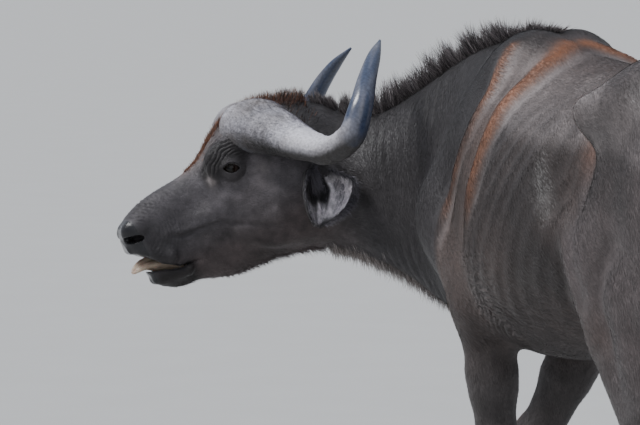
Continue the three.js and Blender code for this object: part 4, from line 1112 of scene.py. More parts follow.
def linked(tree, kind, inputs=None, **settings):
    """A new node with settings and inputs, each a value or another node's output."""
    node = tree.nodes.new(kind)
    for key, value in settings.items():
        setattr(node, key, value)
    for key, value in (inputs or {}).items():
        if isinstance(value, bpy.types.NodeSocket):
            tree.links.new(value, node.inputs[key])
        else:
            node.inputs[key].default_value = value
    return node


def noise_node(tree, scale, detail, coordinates=None, stretch=None, output="Fac"):
    """A noise in the piece's own coordinates, stretched if asked."""
    if coordinates is None:
        coordinates = linked(tree, "ShaderNodeTexCoord").outputs["Object"]
    if stretch:
        coordinates = linked(tree, "ShaderNodeMapping", {"Vector": coordinates, "Scale": stretch}).outputs[0]
    inputs = {"Vector": coordinates, "Scale": scale, "Detail": detail}
    return linked(tree, "ShaderNodeTexNoise", inputs).outputs[output]


def mixed(tree, factor, a, b, blend_type="MIX"):
    """A colour mix of a and b."""
    inputs = {0: factor, 6: a, 7: b}
    return linked(tree, "ShaderNodeMix", inputs, data_type="RGBA", blend_type=blend_type).outputs[2]


def product(tree, a, b):
    """Two numbers multiplied."""
    return linked(tree, "ShaderNodeMath", {0: a, 1: b}, operation="MULTIPLY").outputs[0]


def stored(tree, name, output="Fac"):
    """What a piece stores at its points under a name."""
    return linked(tree, "ShaderNodeAttribute", attribute_name=name).outputs[output]


def coloured(tree, shader, shade):
    """Gives a shader the marks of its piece, times a shade."""
    grey = linked(tree, "ShaderNodeCombineColor", {"Red": shade, "Green": shade, "Blue": shade}).outputs[0]
    marks = stored(tree, "marks", "Color")
    tree.links.new(mixed(tree, 1.0, marks, grey, "MULTIPLY"), shader.inputs["Base Color"])


def bumped(tree, shader, *layers):
    """Adds bump layers, each (height socket, strength, distance), to a shader."""
    normal = None
    for height, strength, distance in layers:
        node = linked(tree, "ShaderNodeBump", {"Height": height, "Strength": strength, "Distance": distance})
        if normal is not None:
            tree.links.new(normal, node.inputs["Normal"])
        normal = node.outputs["Normal"]
    tree.links.new(normal, shader.inputs["Normal"])


def ranged(tree, value, low, high, out_low=0.0, out_high=1.0):
    """A number carried from one range to another and kept inside it."""
    node = linked(tree, "ShaderNodeMapRange", {
        "Value": value, "From Min": low, "From Max": high, "To Min": out_low, "To Max": out_high})
    return node.outputs["Result"]


def hide_material():
    """Skin: its stored colour, smoother where wet, with pores, creases and streaks."""
    material, tree, shader = node_material("hide", 0.62, 0.35, Sheen_Weight=0.1, Sheen_Roughness=0.4)
    coloured(tree, shader, ranged(tree, noise_node(tree, 38, 6), 0.3, 0.7, 0.72, 1.28))
    wet = stored(tree, "wet")
    tree.links.new(ranged(tree, wet, 0, 1, 0.6, 0.2), shader.inputs["Roughness"])
    pores = cell_borders(tree, 420.0)
    creases = cell_borders(tree, 110.0, noise_warp(tree))
    streaks = noise_node(tree, 60, 3, stretch=(6, 6, 0.8))
    dry = ranged(tree, wet, 0, 1, 1, 0.12)
    bumped(tree, shader,
           (ranged(tree, pores, 0.0, 0.25), 0.22, 0.0005),
           (product(tree, ranged(tree, creases, 0.0, 0.12), dry), 0.28, 0.0009),
           (streaks, 0.3, 0.002))
    return material


def cell_borders(tree, scale, coordinates=None):
    """Distance to the borders of a pattern of cells."""
    inputs = {"Scale": scale}
    if coordinates is not None:
        inputs["Vector"] = coordinates
    return linked(tree, "ShaderNodeTexVoronoi", inputs, feature="DISTANCE_TO_EDGE").outputs["Distance"]


def noise_warp(tree):
    """Object coordinates pushed about by a slow noise."""
    coordinates = linked(tree, "ShaderNodeTexCoord").outputs["Object"]
    slow = noise_node(tree, 24, 2, coordinates, output="Color")
    scaled = linked(tree, "ShaderNodeVectorMath", {0: slow, 3: 0.02}, operation="SCALE").outputs[0]
    return linked(tree, "ShaderNodeVectorMath", {0: coordinates, 1: scaled}, operation="ADD").outputs[0]


def horn_material():
    """Horn: its stored colour, rough at the base and polished towards the tip."""
    material, tree, shader = node_material("horn_keratin", 0.45, 0.5)
    fine = noise_node(tree, 160, 6)
    coloured(tree, shader, ranged(tree, fine, 0.3, 0.7, 0.75, 1.25))
    polish = stored(tree, "polish")
    tree.links.new(ranged(tree, polish, 0, 1, 0.72, 0.24), shader.inputs["Roughness"])
    bumped(tree, shader, (product(tree, ranged(tree, polish, 0, 1, 1, 0), fine), 0.9, 0.0035))
    return material


def claw_material():
    """Hoof horn: dark rings with some dust."""
    material, tree, shader = node_material("claw_horn", 0.5, 0.4)
    rings = noise_node(tree, 30, 3, stretch=(0.6, 0.6, 9))
    base = mixed(tree, ranged(tree, rings, 0.35, 0.65), (0.018, 0.015, 0.014, 1), (0.06, 0.05, 0.044, 1))
    dust = ranged(tree, noise_node(tree, 55, 5), 0.55, 0.75, 0, 0.6)
    tree.links.new(mixed(tree, dust, base, (0.16, 0.125, 0.1, 1)), shader.inputs["Base Color"])
    bumped(tree, shader, (rings, 0.5, 0.003))
    return material


def eye_material():
    """A wet eyeball."""
    material, tree, shader = node_material("eye_wet", 0.05, 0.28)
    tree.links.new(stored(tree, "marks", "Color"), shader.inputs["Base Color"])
    return material


def tongue_material():
    """Moist flesh with a fine grain."""
    material, tree, shader = node_material("tongue_flesh", 0.3, 0.5, Subsurface_Weight=0.12)
    mottle = ranged(tree, noise_node(tree, 70, 4), 0.35, 0.65)
    flesh = mixed(tree, mottle, (0.36, 0.27, 0.2, 1), (0.52, 0.42, 0.32, 1))
    tree.links.new(flesh, shader.inputs["Base Color"])
    papillae = linked(tree, "ShaderNodeTexVoronoi", {"Scale": 620.0}).outputs["Distance"]
    bumped(tree, shader, (papillae, 0.5, 0.0008))
    return material


def hair_material(name, glow):
    """Hair: glow is how much lighter a tuft is on its underside, where light comes through it."""
    material, tree, shader = node_material(name, 0.5, 0.32, Sheen_Weight=0.14, Sheen_Roughness=0.45)
    fibre = ranged(tree, noise_node(tree, 260, 3), 0.3, 0.7, 0.84, 1.16)
    under = linked(tree, "ShaderNodeNewGeometry").outputs["Backfacing"]
    coloured(tree, shader, product(tree, fibre, ranged(tree, under, 0, 1, 1, glow)))
    return material


# Skin colour, the same for the skin and its coat, with painted shade and painted highlights among the marks

NECK_GREY = (0.045, 0.041, 0.043)
TRUNK_BROWN = (0.086, 0.063, 0.056)
# a dark grey painted as shade on the ribs and on the top of the hips
PAINTED_BODY_SHADE = (0.026, 0.021, 0.020)
THIGH_GREY = (0.076, 0.062, 0.061)
BELLY_BROWN = (0.062, 0.046, 0.042)
LEG_GREY = (0.066, 0.058, 0.057)
DUST = (0.115, 0.092, 0.075)
RUST = (0.33, 0.125, 0.048)
# pale hair, also used as painted highlight along the hip
PALE_HAIR_AND_RIM_LIGHT = (0.27, 0.24, 0.235)
HEAD_GREY = (0.088, 0.080, 0.087)
FOREHEAD_GREY = (0.20, 0.175, 0.17)
JAW_BROWN = (0.066, 0.050, 0.048)
# dark skin, also used as painted shade in the face's grooves
DARK_SKIN_AND_CREASE_SHADE = (0.026, 0.023, 0.024)
WET_SKIN = (0.020, 0.020, 0.022)
EAR_PALE = (0.90, 0.86, 0.88)
CHEEK_GREY = (0.165, 0.146, 0.15)
MUZZLE_GREY = (0.056, 0.051, 0.055)
BROW_DARK_AND_SHADE = (0.019, 0.017, 0.017)
MOUTH_DARK = (0.022, 0.020, 0.021)
CHIN_PAINTED_SHADE = (0.012, 0.010, 0.010)
EAR_CAVITY_SHADE = (0.008, 0.007, 0.007)
PALE_SPOTS = [
    ((53, 82, -5), 11, 2.2), ((-65, 104, -33), 20, 0.34), ((52, 82, -132), 14, 0.16),
    ((-20, 104, -62), 14, 0.16), ((90, 66, -60), 16, 0.16), ((120, 60, -120), 13, 0.14),
]
NO_END = 9   # past the end of any path
PATH_MARKS = [   # path, shift, colour, width, end, strength and how much that varies
    (FRONT_RIDGE, -26, PALE_HAIR_AND_RIM_LIGHT, 17, NO_END, 0.36, 0),
    (REAR_RIDGE, 0, RUST, 25, 0.85, 0.84, 0.2),
    (REAR_RIDGE, -56, PALE_HAIR_AND_RIM_LIGHT, 22, 0.9, 0.34, 0.16),
    # the two hip bands are painted highlight: a lit edge and a bright rim of hair along the hip
    (HIP_EDGE, 0, PALE_HAIR_AND_RIM_LIGHT, 20, NO_END, 0.22, 0.2),
    (HIP_RIM, 0, PALE_HAIR_AND_RIM_LIGHT, 27, NO_END, 0.85, 0.2),
]


def toned(colour, tone, share):
    """colour drawn towards a tone by a share for each point"""
    return colour + (np.array(tone) - colour) * np.clip(share, 0, 1)[:, None]


def body_marks(s):
    """colour at points of the straight frame"""
    side = np.sign(s[:, 1])
    s = one_sided(s)
    x, _, z = s.T
    slow, mid = noise(s, 150, 31), noise(s, 55, 32)
    border = np.interp(z, [850, 927, 996, 1087, 1180, 1268, 1365], [500, 476, 444, 400, 330, 320, 325])
    colour = np.tile(np.array(NECK_GREY), (len(s), 1))
    colour *= (1 + 0.30 * np.clip((1000 - z) / 300, -0.9, 0.2))[:, None]
    trunk = np.clip((border + 14 * mid - x) / 34 + 0.5, 0, 1)
    colour = toned(colour, TRUNK_BROWN, trunk)
    # painted shade: the ribs, and further back the top of the hips, are darkened
    ribs = between(x, -340, 170, 130) * between(z, 760, 1260, 120)
    colour = toned(colour, PAINTED_BODY_SHADE, ribs * (0.75 + 0.4 * slow))
    colour = toned(colour, THIGH_GREY, between(x, -1000, -330, 90) * between(z, 600, 1500, 150))
    colour = toned(colour, PAINTED_BODY_SHADE, between(x, -690, -400, 90) * between(z, 1060, 1300, 90) * 0.6)
    colour = toned(colour, BELLY_BROWN, between(z, 300, 830, 110) * between(x, -560, 420, 120) * 0.9)
    colour = toned(colour, LEG_GREY, 1 - np.clip((z - 600) / 180, 0, 1))
    top = np.clip((z - back_line(x) + 34) / 26, 0, 1)
    high = between(z - back_line(x), -150, -22, 46) * trunk
    colour = toned(colour, PALE_HAIR_AND_RIM_LIGHT, high * (0.30 + 0.16 * mid))
    colour = toned(colour, DARK_SKIN_AND_CREASE_SHADE, top * between(x, 180, 640, 90) * 0.75)
    away, share = path_distance(s, FRONT_RIDGE)
    edge = hump(away + (x > border) * 4, 15) * between(share, -0.2, 0.75, 0.3)
    colour = toned(colour, RUST, edge * (0.62 + 0.2 * mid))
    for path, shift, tone, width, end, strength, varied in PATH_MARKS:
        away, share = path_distance(s - (shift, 0, 0), path)
        band = hump(away, width) * between(share, -0.2, end, 0.3)
        colour = toned(colour, tone, band * (strength + varied * mid))
    colour = toned(colour, RUST, hump(np.hypot(x + 360, z - 1170), 60) * 0.22)
    for name in ("foreleg_left", "foreleg_right"):
        leg = LEGS[name]
        axis = sorted((leg[joint] for joint in JOINTS), key=lambda stop: stop[2])
        ahead = x - np.interp(z, [stop[2] for stop in axis], [stop[0] for stop in axis])
        mine = (side == leg["side"]) * between(z, 330, 790, 190)
        shin = mine * np.clip((ahead - 28) / 34, 0, 1) * (ahead < 120)
        colour = toned(colour, RUST, shin * (0.26 + 0.16 * mid))
    colour = toned(colour, DUST, np.clip((300 - z) / 220, 0, 1) * (0.35 + 0.4 * mid))
    streak = noise(s * (1, 1, 0.16), 9, 33)
    return colour * (1 + 0.18 * slow + 0.14 * mid + 0.13 * streak)[:, None]


def head_marks(s):
    """colour at points of the slanted head frame"""
    s = one_sided(s)
    a, v, n = s.T
    slow, mid, fine = noise(s, 60, 41), noise(s, 22, 42), noise(s, 9, 43)
    colour = np.tile(np.array(HEAD_GREY), (len(s), 1))
    colour = toned(colour, JAW_BROWN, np.clip((-92 - n) / 70, 0, 1) * 0.85)
    cheek = hump(np.hypot(a + 20, n + 84), 66) * np.clip((v - 40) / 30, 0, 1)
    colour = toned(colour, CHEEK_GREY, cheek * (0.6 + 0.4 * mid))
    colour = toned(colour, NECK_GREY, np.clip((-120 - a) / 90, 0, 1))
    colour *= (1 + 0.28 * slow + 0.26 * mid + 0.16 * fine)[:, None]
    colour = toned(colour, MUZZLE_GREY, between(a, 96, 262, 60) * between(n, -120, 120, 60) * 0.55)
    forehead = between(a, -70, 118, 60) * between(n, 30, 200, 36) * between(v, -60, 62, 34)
    colour = toned(colour, FOREHEAD_GREY, forehead * (0.62 + 0.3 * mid))
    midline = between(a, -150, 96, 40) * between(n, 36, 200, 30) * hump(v + 5 * mid, 19)
    colour = toned(colour, RUST, midline * (0.66 + 0.25 * fine))
    r = eye_reach(a, n)
    side = between(v, 52, 200, 24)
    bearing = np.degrees(np.arctan2(n - 1, a + 3))
    # dark skin above the eye, darkened further as painted shade under the brow
    brow = side * between(r, 20, 68, 14) * between(bearing, -12, 172, 40)
    colour = toned(colour, BROW_DARK_AND_SHADE, brow * 0.9)
    colour = toned(colour, FOREHEAD_GREY, side * hump(r - 80, 8) * between(bearing, 20, 110, 40) * 0.3)
    colour = toned(colour, DARK_SKIN_AND_CREASE_SHADE, side * between(r, 0, 34, 12) * 0.7)
    # painted shade: darker along the tear groove and the cheek groove
    away, share = path_distance(s, TEAR_GROOVE)
    colour = toned(colour, DARK_SKIN_AND_CREASE_SHADE, hump(away, 8) * (1 - share) * 0.9)
    away, share = path_distance(s, CHEEK_GROOVE)
    colour = toned(colour, DARK_SKIN_AND_CREASE_SHADE, hump(away, 8) * (1 - 0.7 * share) * 0.7)
    for at, size, share in PALE_SPOTS:
        colour = toned(colour, PALE_HAIR_AND_RIM_LIGHT, hump(length(s - at), size) * share * (1 + 0.6 * fine))
    colour = toned(colour, MOUTH_DARK, hump(np.hypot(a - 232, n + 96), 52) * 0.85)
    # painted shade under the chin and the front of the lower jaw
    chin = between(a, 172, 330, 30) * np.clip((-136 - n) / 16, 0, 1)
    colour = toned(colour, CHIN_PAINTED_SHADE, chin * 0.9)
    colour = toned(colour, DARK_SKIN_AND_CREASE_SHADE, between(a, 215, 262, 24) * between(n, -150, 30, 40) * 0.35)
    return toned(colour, WET_SKIN, wetness(s))


def wetness(s):
    """1 on the bare wet nose and lips, at points of the slanted head frame"""
    a, v, n = s[:, 0], np.abs(s[:, 1]), s[:, 2]
    pad = np.clip((a - 262 + 0.35 * np.maximum(v - 30, 0)) / 9, 0, 1)
    pad *= np.clip((14 - n + (a - 262)) / 20, 0, 1)
    lip_depth = np.interp(a, [156, 203, 236, 281, 330], [157, 151, 130, 100, 90])
    lips = between(a, 196, 330, 16) * hump(n + lip_depth, 8)
    return np.clip(np.maximum(pad, 0.8 * lips), 0, 1)


def ear_marks(colour, q, ear, share):
    """colour with the ears' inner and outer faces drawn in, at points of the head frame"""
    near = ear < 9
    _, across, face = ear_frame(one_sided(q[near])).T
    t = share[near]
    curl, outer, inner = ear_shape(t)
    inside = np.hypot(across - ear_sweep(t), outer - face) < (outer + inner) / 2
    turned = np.arctan2(across - ear_sweep(t), outer - face) / curl
    spots = noise(q[near], 7, 51)
    tone = np.tile(np.array(NECK_GREY) * 1.15, (near.sum(), 1))
    pale = between(turned, -1.05, -0.26 - 0.2 * (0.6 - t), 0.12) * between(t, 0.22, 0.88, 0.16)
    pale = np.maximum(pale, between(turned, -0.22, 0.1, 0.08) * between(t, 0.6, 0.95, 0.14) * 0.95)
    pale = np.maximum(pale, between(turned, 0.16, 0.75, 0.12) * between(t, 0.7, 0.99, 0.12) * 0.5)
    # painted shade in the hollow of the ear, towards its root
    dark = between(turned, -0.34, 0.42, 0.14) * between(t, -0.1, 0.62, 0.16)
    tone = toned(tone, EAR_PALE, inside * pale * (0.86 + 0.35 * spots))
    tone = toned(tone, EAR_CAVITY_SHADE, inside * dark * (1 - pale) * 0.95)
    weight = np.clip(t * 6, 0, 1)[:, None]
    colour = colour.copy()
    colour[near] += (tone - colour[near]) * weight
    return colour


def marks_at(p):
    """the colour of skin and hair at points of the animal's frame"""
    colour = body_marks(unbent(p))
    q = to_head(p)
    head, slant = on_head(q, -250, 130)
    here = head > 0.001
    colour[here] += (head_marks(slant[here]) - colour[here]) * head[here, None]
    ear, share = ear_distance(q)
    return np.clip(ear_marks(colour, q, ear, share), 0.002, 0.9)


# The coat: tapered tufts rooted on the skin, lying the way the hair grows

BLADE_TAPER = (1, 0.86, 0.28)
HORN_ROOT_RADIUS = 44
HAIR_STEPS = 4
CLUMP = 17
LASH_RADIUS = 25.5
PATCH = 0.003
COAT = {
    "neck": dict(count=60000, length=12, width=1.45, lift=0.8),
    "front": dict(count=55000, length=15, width=1.7, lift=0.8),
    "middle": dict(count=47000, length=16, width=1.8, lift=0.8),
    "rear": dict(count=56000, length=16, width=1.8, lift=0.8),
    "legs": dict(count=46000, length=9, width=1.5, lift=0.7),
    "head": dict(count=66000, length=5.5, width=1.0, lift=0.6),
    "ears": dict(count=18000, length=8, width=1.1, lift=0.9),
}


def flattened(v, out):
    """directions with their part along out taken away"""
    return v - dot(v, out)[:, None] * out


def lay_at(p, out):
    """the direction in which the hair lies at points of the skin"""
    s = unbent(p)
    forward, _ = spine_vectors(s[:, 0])
    down = np.array((0, 0, -1.0))
    flank = np.clip((back_line(s[:, 0]) - s[:, 2]) / 260, 0, 1)[:, None]
    trunk = -forward + down * (0.15 + 0.55 * flank)
    neck_share = np.clip((s[:, 0] - 430) / 130, 0, 1)[:, None]
    neck = -0.34 * forward + down
    lay = trunk + (neck - trunk) * neck_share
    rump = np.clip((-560 - s[:, 0]) / 200, 0, 1)[:, None]
    lay = lay + (down * 1.1 - 0.5 * forward - lay) * rump
    low = np.clip((760 - s[:, 2]) / 120, 0, 1)[:, None] * (np.abs(out[:, 2:]) < 0.8)
    lay = lay + (down - 0.12 * forward - lay) * low
    q = to_head(p)
    head, slant = on_head(q, -250, 130)
    sag = -0.32 * between(slant[:, 2], -400, 20, 60)
    face = slant_vectors(np.stack([np.full(len(p), -1.0), np.zeros(len(p)), sag], 1))
    lay = lay + (face - lay) * head[:, None]
    ear, share = ear_distance(q)
    for side in (1, -1):
        on_ear = (ear < 9) & (q[:, 1] * side > 0) & (share > 0.05)
        lay[on_ear] = head_vectors(ear_axis * (1, side, 1))
    wander = np.stack([noise(p, 70, seed) for seed in (61, 62, 63)], 1)
    return unit_rows(flattened(lay + 0.22 * wander, out))


def scattered(points, triangles, weight, count, draw):
    """roots spread evenly over triangles by weight: the faces' numbers and the places"""
    a, b, c = (points[triangles[:, k]] for k in range(3))
    area = length(np.cross(b - a, c - a)) * weight
    total = np.cumsum(area)
    pick = (np.arange(count) + draw.random(count)) / count * total[-1]
    face = np.searchsorted(total, pick)
    one, two = draw.random(count), draw.random(count)
    over = one + two > 1
    one[over], two[over] = 1 - one[over], 1 - two[over]
    return face, np.stack([1 - one - two, one, two], 1)


def blades(name, spine, across, width, colour, where, material):
    """A mesh of tapered blades: spine holds the points along each, where its place on the unwrap."""
    count, steps = spine.shape[:2]
    along = np.linspace(0, 1, steps)[:-1]
    shape = np.interp(along, np.linspace(0, 1, len(BLADE_TAPER)), BLADE_TAPER)
    half = (across[:, None] * width[:, None, None] / 2) * shape[None, :, None]
    body = spine[:, :-1]
    edges = np.stack([body - half, body + half], 2).reshape(count, -1, 3)
    points = np.concatenate([edges, spine[:, -1:]], 1)
    each = 2 * (steps - 1) + 1
    start = np.arange(count)[:, None] * each
    quads = np.concatenate([start + (2 * k + 1, 2 * k, 2 * k + 2, 2 * k + 3) for k in range(steps - 2)])
    tip = start + (2 * (steps - 2) + 1, 2 * (steps - 2), 2 * (steps - 2) + 2)
    piece = mesh_piece(name, points.reshape(-1, 3), [quads, tip], material)
    along = np.repeat(along, 2)
    tint = np.concatenate([0.86 + 0.26 * along, [1.18]])
    paint(piece, "marks", (colour[:, None] * tint[None, :, None]).reshape(-1, 3))
    local = np.stack([np.tile([0, 1], steps - 1), along], 1)
    local = np.concatenate([local, [(0.5, 1)]])
    low, high = where.min(0), where.max(0)
    root = (where - low) / np.maximum(high - low, 1e-9) * (1 - PATCH)
    spots = (root[:, None] + local[None] * PATCH).reshape(-1, 2)
    corners = np.concatenate([quads.ravel(), tip.ravel()])
    layer = piece.data.uv_layers.new(name="OFBake")
    layer.data.foreach_set("uv", spots[corners].astype(np.float32).ravel())


def coat_regions(p, s, slant, ear):
    """the name of the coat piece that each point belongs to"""
    region = np.full(len(p), "middle", object)
    region[s[:, 0] > 110] = "front"
    region[s[:, 0] < -330] = "rear"
    region[s[:, 0] > 500] = "neck"
    region[p[:, 2] < 690] = "legs"
    region[(slant[:, 0] > -175) & (s[:, 0] > 860) & (length(slant) < 520)] = "head"
    region[ear < 7] = "ears"
    return region


def bareness(p, slant):
    """1 where no hair grows: nose, lips, lid edges, under the horns and hooves' tops"""
    q = from_slant(slant)
    bare = np.clip(wetness(slant) * 2.5, 0, 1)
    for side in (1, -1):
        lids = q - (0, side * EYE_SPREAD, 0)
        bare = np.maximum(bare, between(length(lids), -30, 29.5, 5))
        away, _ = path_distance(q * (1, side, 1), [stop[:3] for stop in HORN_PATH[:5]])
        bare = np.maximum(bare, np.clip((HORN_ROOT_RADIUS - away) / 8, 0, 1))
    return np.maximum(bare, np.clip((82 - p[:, 2]) / 6, 0, 1))


def tuft_spine(root, run, up, lift):
    """three points along each tuft, from under the skin to its raised tip"""
    return np.stack([root - 0.5 * up, root + run * 0.5 + up * lift, root + run + up * (lift * 0.9)], 1)


def make_coat(points, faces, marks, material):
    """Short flat tufts all over the skin, in one piece for each region."""
    draw = np.random.default_rng(7)
    triangles = np.concatenate([
        np.stack([group[:, 0], group[:, k], group[:, k + 1]], 1)
        for group in faces for k in range(1, group.shape[1] - 1)])
    middle = points[triangles].mean(1)
    a, b, c = (points[triangles[:, k]] for k in range(3))
    out = unit_rows(np.cross(b - a, c - a))
    normals = np.zeros_like(points)
    for k in range(3):
        np.add.at(normals, triangles[:, k], out)
    normals = unit_rows(normals)
    lays = lay_at(points, normals)
    s, q = unbent(middle), to_head(middle)
    slant = to_slant(q)
    ear, _ = ear_distance(q)
    region = coat_regions(middle, s, slant, ear)
    open_skin = 1 - bareness(middle, slant)
    open_skin[middle[:, 2] < 78] = 0
    for name, plan in COAT.items():
        mask = region == name
        face, corner = scattered(points, triangles, open_skin * mask, plan["count"], draw)
        hit = triangles[face]
        root, up, lay, tint = (
            np.einsum("ij,ijk->ik", corner, values[hit]) for values in (points, normals, lays, marks))
        up = unit_rows(up)
        lay = unit_rows(flattened(lay, up))
        grown = plan["length"] * (0.7 + 0.6 * draw.random(len(root)))
        grown *= hair_scale(root, name)
        lift = plan["lift"] * (0.6 + 0.9 * draw.random(len(root)))
        across = np.cross(up, lay)
        across += 0.45 * (draw.random(len(root)) - 0.5)[:, None] * up
        lay = lay + 0.35 * (draw.random(len(root)) - 0.5)[:, None] * np.cross(up, lay)
        spine = tuft_spine(root, lay * grown[:, None], up, lift[:, None])
        width = plan["width"] * (0.75 + 0.5 * draw.random(len(root)))
        tone = 0.82 + 0.36 * draw.random(len(root))
        tone *= 0.9 + 0.25 * (draw.random(len(root)) > 0.93)
        blades(f"coat_{name}", spine, across, width, tint * tone[:, None], unwrapped(root, name), material)


def hair_scale(p, name):
    """how long the hair is here, against its region's measure"""
    scale = np.ones(len(p))
    if name == "head":
        a, v, n = to_slant(to_head(p)).T
        scale *= 0.65 + 0.5 * np.clip((120 - a) / 160, 0, 1)
        crown = between(a, -200, 80, 40) * between(n, 44, 200, 24) * between(np.abs(v), -60, 60, 30)
        scale *= 1 + 1.5 * crown
    if name == "legs":
        scale *= 0.75 + 0.5 * np.clip((p[:, 2] - 300) / 300, 0, 1)
    return scale


def leg_unwrap(p):
    """a place on a flat unwrap of the legs, a column for each"""
    paths = [bent(np.array([leg[joint] for joint in JOINTS], float)) for leg in LEGS.values()]
    number = np.argmin([path_distance(p, path)[0] for path in paths], 0)
    places = np.zeros((len(p), 2))
    for index, leg in enumerate(LEGS.values()):
        x, y, z = p[number == index].T
        knee = bent(np.array([leg["knee"]]))[0]
        angle = np.arctan2(y - knee[1], x - knee[0]) / (2 * np.pi) + 0.5
        places[number == index] = np.stack([index + 0.98 * angle, z / 180], 1)
    return places * (0.25, 1)


def unwrapped(p, name):
    """a place on a flat unwrap of the skin for each point"""
    if name == "legs":
        return leg_unwrap(p)
    if name == "ears":
        q = to_head(p)
        along, across, face = ear_frame(one_sided(q)).T
        angle = np.arctan2(across, 40 - face) / (2 * np.pi) + 0.5
        return np.stack([angle + 1.02 * (q[:, 1] >= 0), along / 100], 1)
    if name == "head":
        x, y, z = to_slant(to_head(p)).T
        level = -70
    else:
        x, y, z = unbent(p).T
        level = (back_line(x) + belly_line(x)) / 2
    return np.stack([np.arctan2(y, z - level) / (2 * np.pi), x / 500], 1)


def grown_blades(name, root, aim, grown, width, colour, where, material, draw, curl, droop=0.0):
    """Longer hairs that bend a little on their way."""
    aim = unit_rows(aim)
    bend = flattened(draw.normal(size=root.shape) * curl, aim)
    share = np.linspace(0, 1, HAIR_STEPS)[None, :, None]
    path = aim[:, None] * share + bend[:, None] * share ** 2 * 0.5 + np.array((0, 0, -droop)) * share ** 2
    spine = root[:, None] + path * grown[:, None, None]
    across = unit_rows(np.cross(aim, draw.normal(size=root.shape)))
    blades(name, spine, across, np.full(len(root), width), colour, where, material)


def skin_level(p, out, reach=40):
    """points moved along a direction onto the skin"""
    near = np.full(len(p), -reach, float)
    far = np.full(len(p), reach, float)
    for _ in range(14):
        middle = (near + far) / 2
        inside = skin_field(p + out * middle[:, None]) < 0
        near = np.where(inside, middle, near)
        far = np.where(inside, far, middle)
    return p + out * ((near + far) / 2)[:, None]


def make_mane(material):
    """Standing hair on the crest from the withers to the poll, in loose clumps."""
    draw = np.random.default_rng(11)
    count = 8600
    x = 330 + 750 * draw.random(count) ** 0.92
    y = draw.normal(size=count) * 9
    height = np.interp(x, [300, 600, 700, 800, 900, 1080], [1392, 1356, 1318, 1262, 1210, 1200])
    crest = bent(np.stack([x, y, height], 1))
    up = np.tile((0.0, 0.0, 1.0), (count, 1))
    root = skin_level(crest, up, 90) - 2 * up
    forward, left = spine_vectors(x)
    flat = np.clip((x - 330) / 240, 0, 1)
    aim = up * (0.35 + 0.65 * flat)[:, None] + forward * (-0.9 + 1.15 * flat)[:, None]
    aim += left * (y / 22)[:, None] + draw.normal(size=root.shape) * 0.10
    grown = np.interp(x, [330, 430, 560, 700, 880, 960, 1080], [30, 40, 54, 66, 62, 56, 34])
    grown = grown * (0.62 + 0.5 * draw.random(count))
    sway = 0.4 * np.sin(x / 31)
    clump = np.stack([np.floor(x / CLUMP + sway), np.floor((y + 40) / 16), np.zeros(count)], 1)
    pull = np.stack([hashed(clump, seed) - 0.5 for seed in (1, 2, 3)], 1)
    middle = (clump[:, 0] + 0.5 - sway) * CLUMP - x
    aim += forward * (0.5 * middle / CLUMP)[:, None] + pull * 0.5
    grown *= 0.58 + 0.7 * hashed(clump, 4)
    colour = np.array((0.046, 0.040, 0.040)) * (0.6 + 0.9 * draw.random(count))[:, None]
    # some hairs made much paler: partly the mane's own mixed colour, partly a painted backlit glow
    colour *= np.where(draw.random(count) > 0.58, 4.6, 1.25)[:, None]
    where = np.stack([y / 60, x / 400], 1)
    grown_blades("mane", root, aim, grown, 1.15, colour, where, material, draw, 0.16)


def make_fringes(material):
    """Thin hanging hair along the throat, the jaw and the chin."""
    draw = np.random.default_rng(13)
    count = 5200
    x = 560 + 480 * draw.random(count)
    y = draw.normal(size=count) * 22
    low = np.interp(x, [560, 700, 800, 880, 1020], [698, 752, 802, 838, 878])
    root = bent(np.stack([x, y, low], 1))
    up = np.tile((0.0, 0.0, 1.0), (count, 1))
    root = skin_level(root, -up, 90) + 2 * up
    forward, _ = spine_vectors(x)
    aim = -up + forward * -0.35 + draw.normal(size=root.shape) * 0.22
    grown = np.interp(x, [560, 640, 760, 900, 1040], [12, 22, 38, 42, 30])
    grown *= 0.45 + 0.75 * draw.random(count)
    # pale throat hair: partly its own colour, partly painted backlight
    colour = np.array((0.30, 0.265, 0.25)) * (0.3 + 1.2 * draw.random(count))[:, None]
    where = np.stack([y / 100, x / 400], 1)
    grown_blades("throat_hair", root, aim, grown, 0.9, colour, where, material, draw, 0.3)
    count = 3600
    a = -120 + 365 * draw.random(count)
    v = draw.normal(size=count) * 20 * np.interp(a, [150, 280], [1, 0.8])
    level = np.interp(a, [-120, 0, 150, 205, 280], [-250, -242, -214, -202, -140]) - 10
    root = from_head(from_slant(np.stack([a, v, level], 1)))
    down = slant_vectors((0, 0, -1))
    root = skin_level(root, np.tile(down, (count, 1)), 60) - 2 * down
    aim = down + slant_vectors((-0.75, 0, 0)) + draw.normal(size=root.shape) * 0.3
    grown = np.interp(a, [-120, 20, 120, 200, 280], [26, 18, 10, 9, 6]) * (0.5 + 0.7 * draw.random(count))
    # the jaw hair takes the skin's colour at its root, the painted chin shade included
    colour = marks_at(root) * (0.9 + 0.8 * draw.random(count))[:, None]
    where = np.stack([v / 100, a / 400], 1)
    grown_blades("jaw_hair", root, aim, grown, 0.8, colour, where, material, draw, 0.3)


EAR_GREY = np.array((0.046, 0.043, 0.049))
EAR_FORWARD = np.array((1.0, 0, 0))
EAR_TUFTS = [   # count, range along, range across, length, tone, and whether on the inside
    (1900, (0.14, 1.0), (-1.0, -0.94), (22, 40), 1.2, False),
    (900, (0.12, 1.0), (0.96, 1.0), (10, 20), 1.2, False),
    (900, (0.05, 0.34), (0.5, 1.0), (34, 62), 3.0, True),
    (700, (0.25, 0.8), (-0.75, -0.2), (8, 15), 6.2, True),
    (500, (0.55, 0.92), (-0.15, 0.15), (8, 15), 6.0, True),
    (400, (0.66, 0.95), (0.25, 0.7), (8, 14), 4.8, True),
]


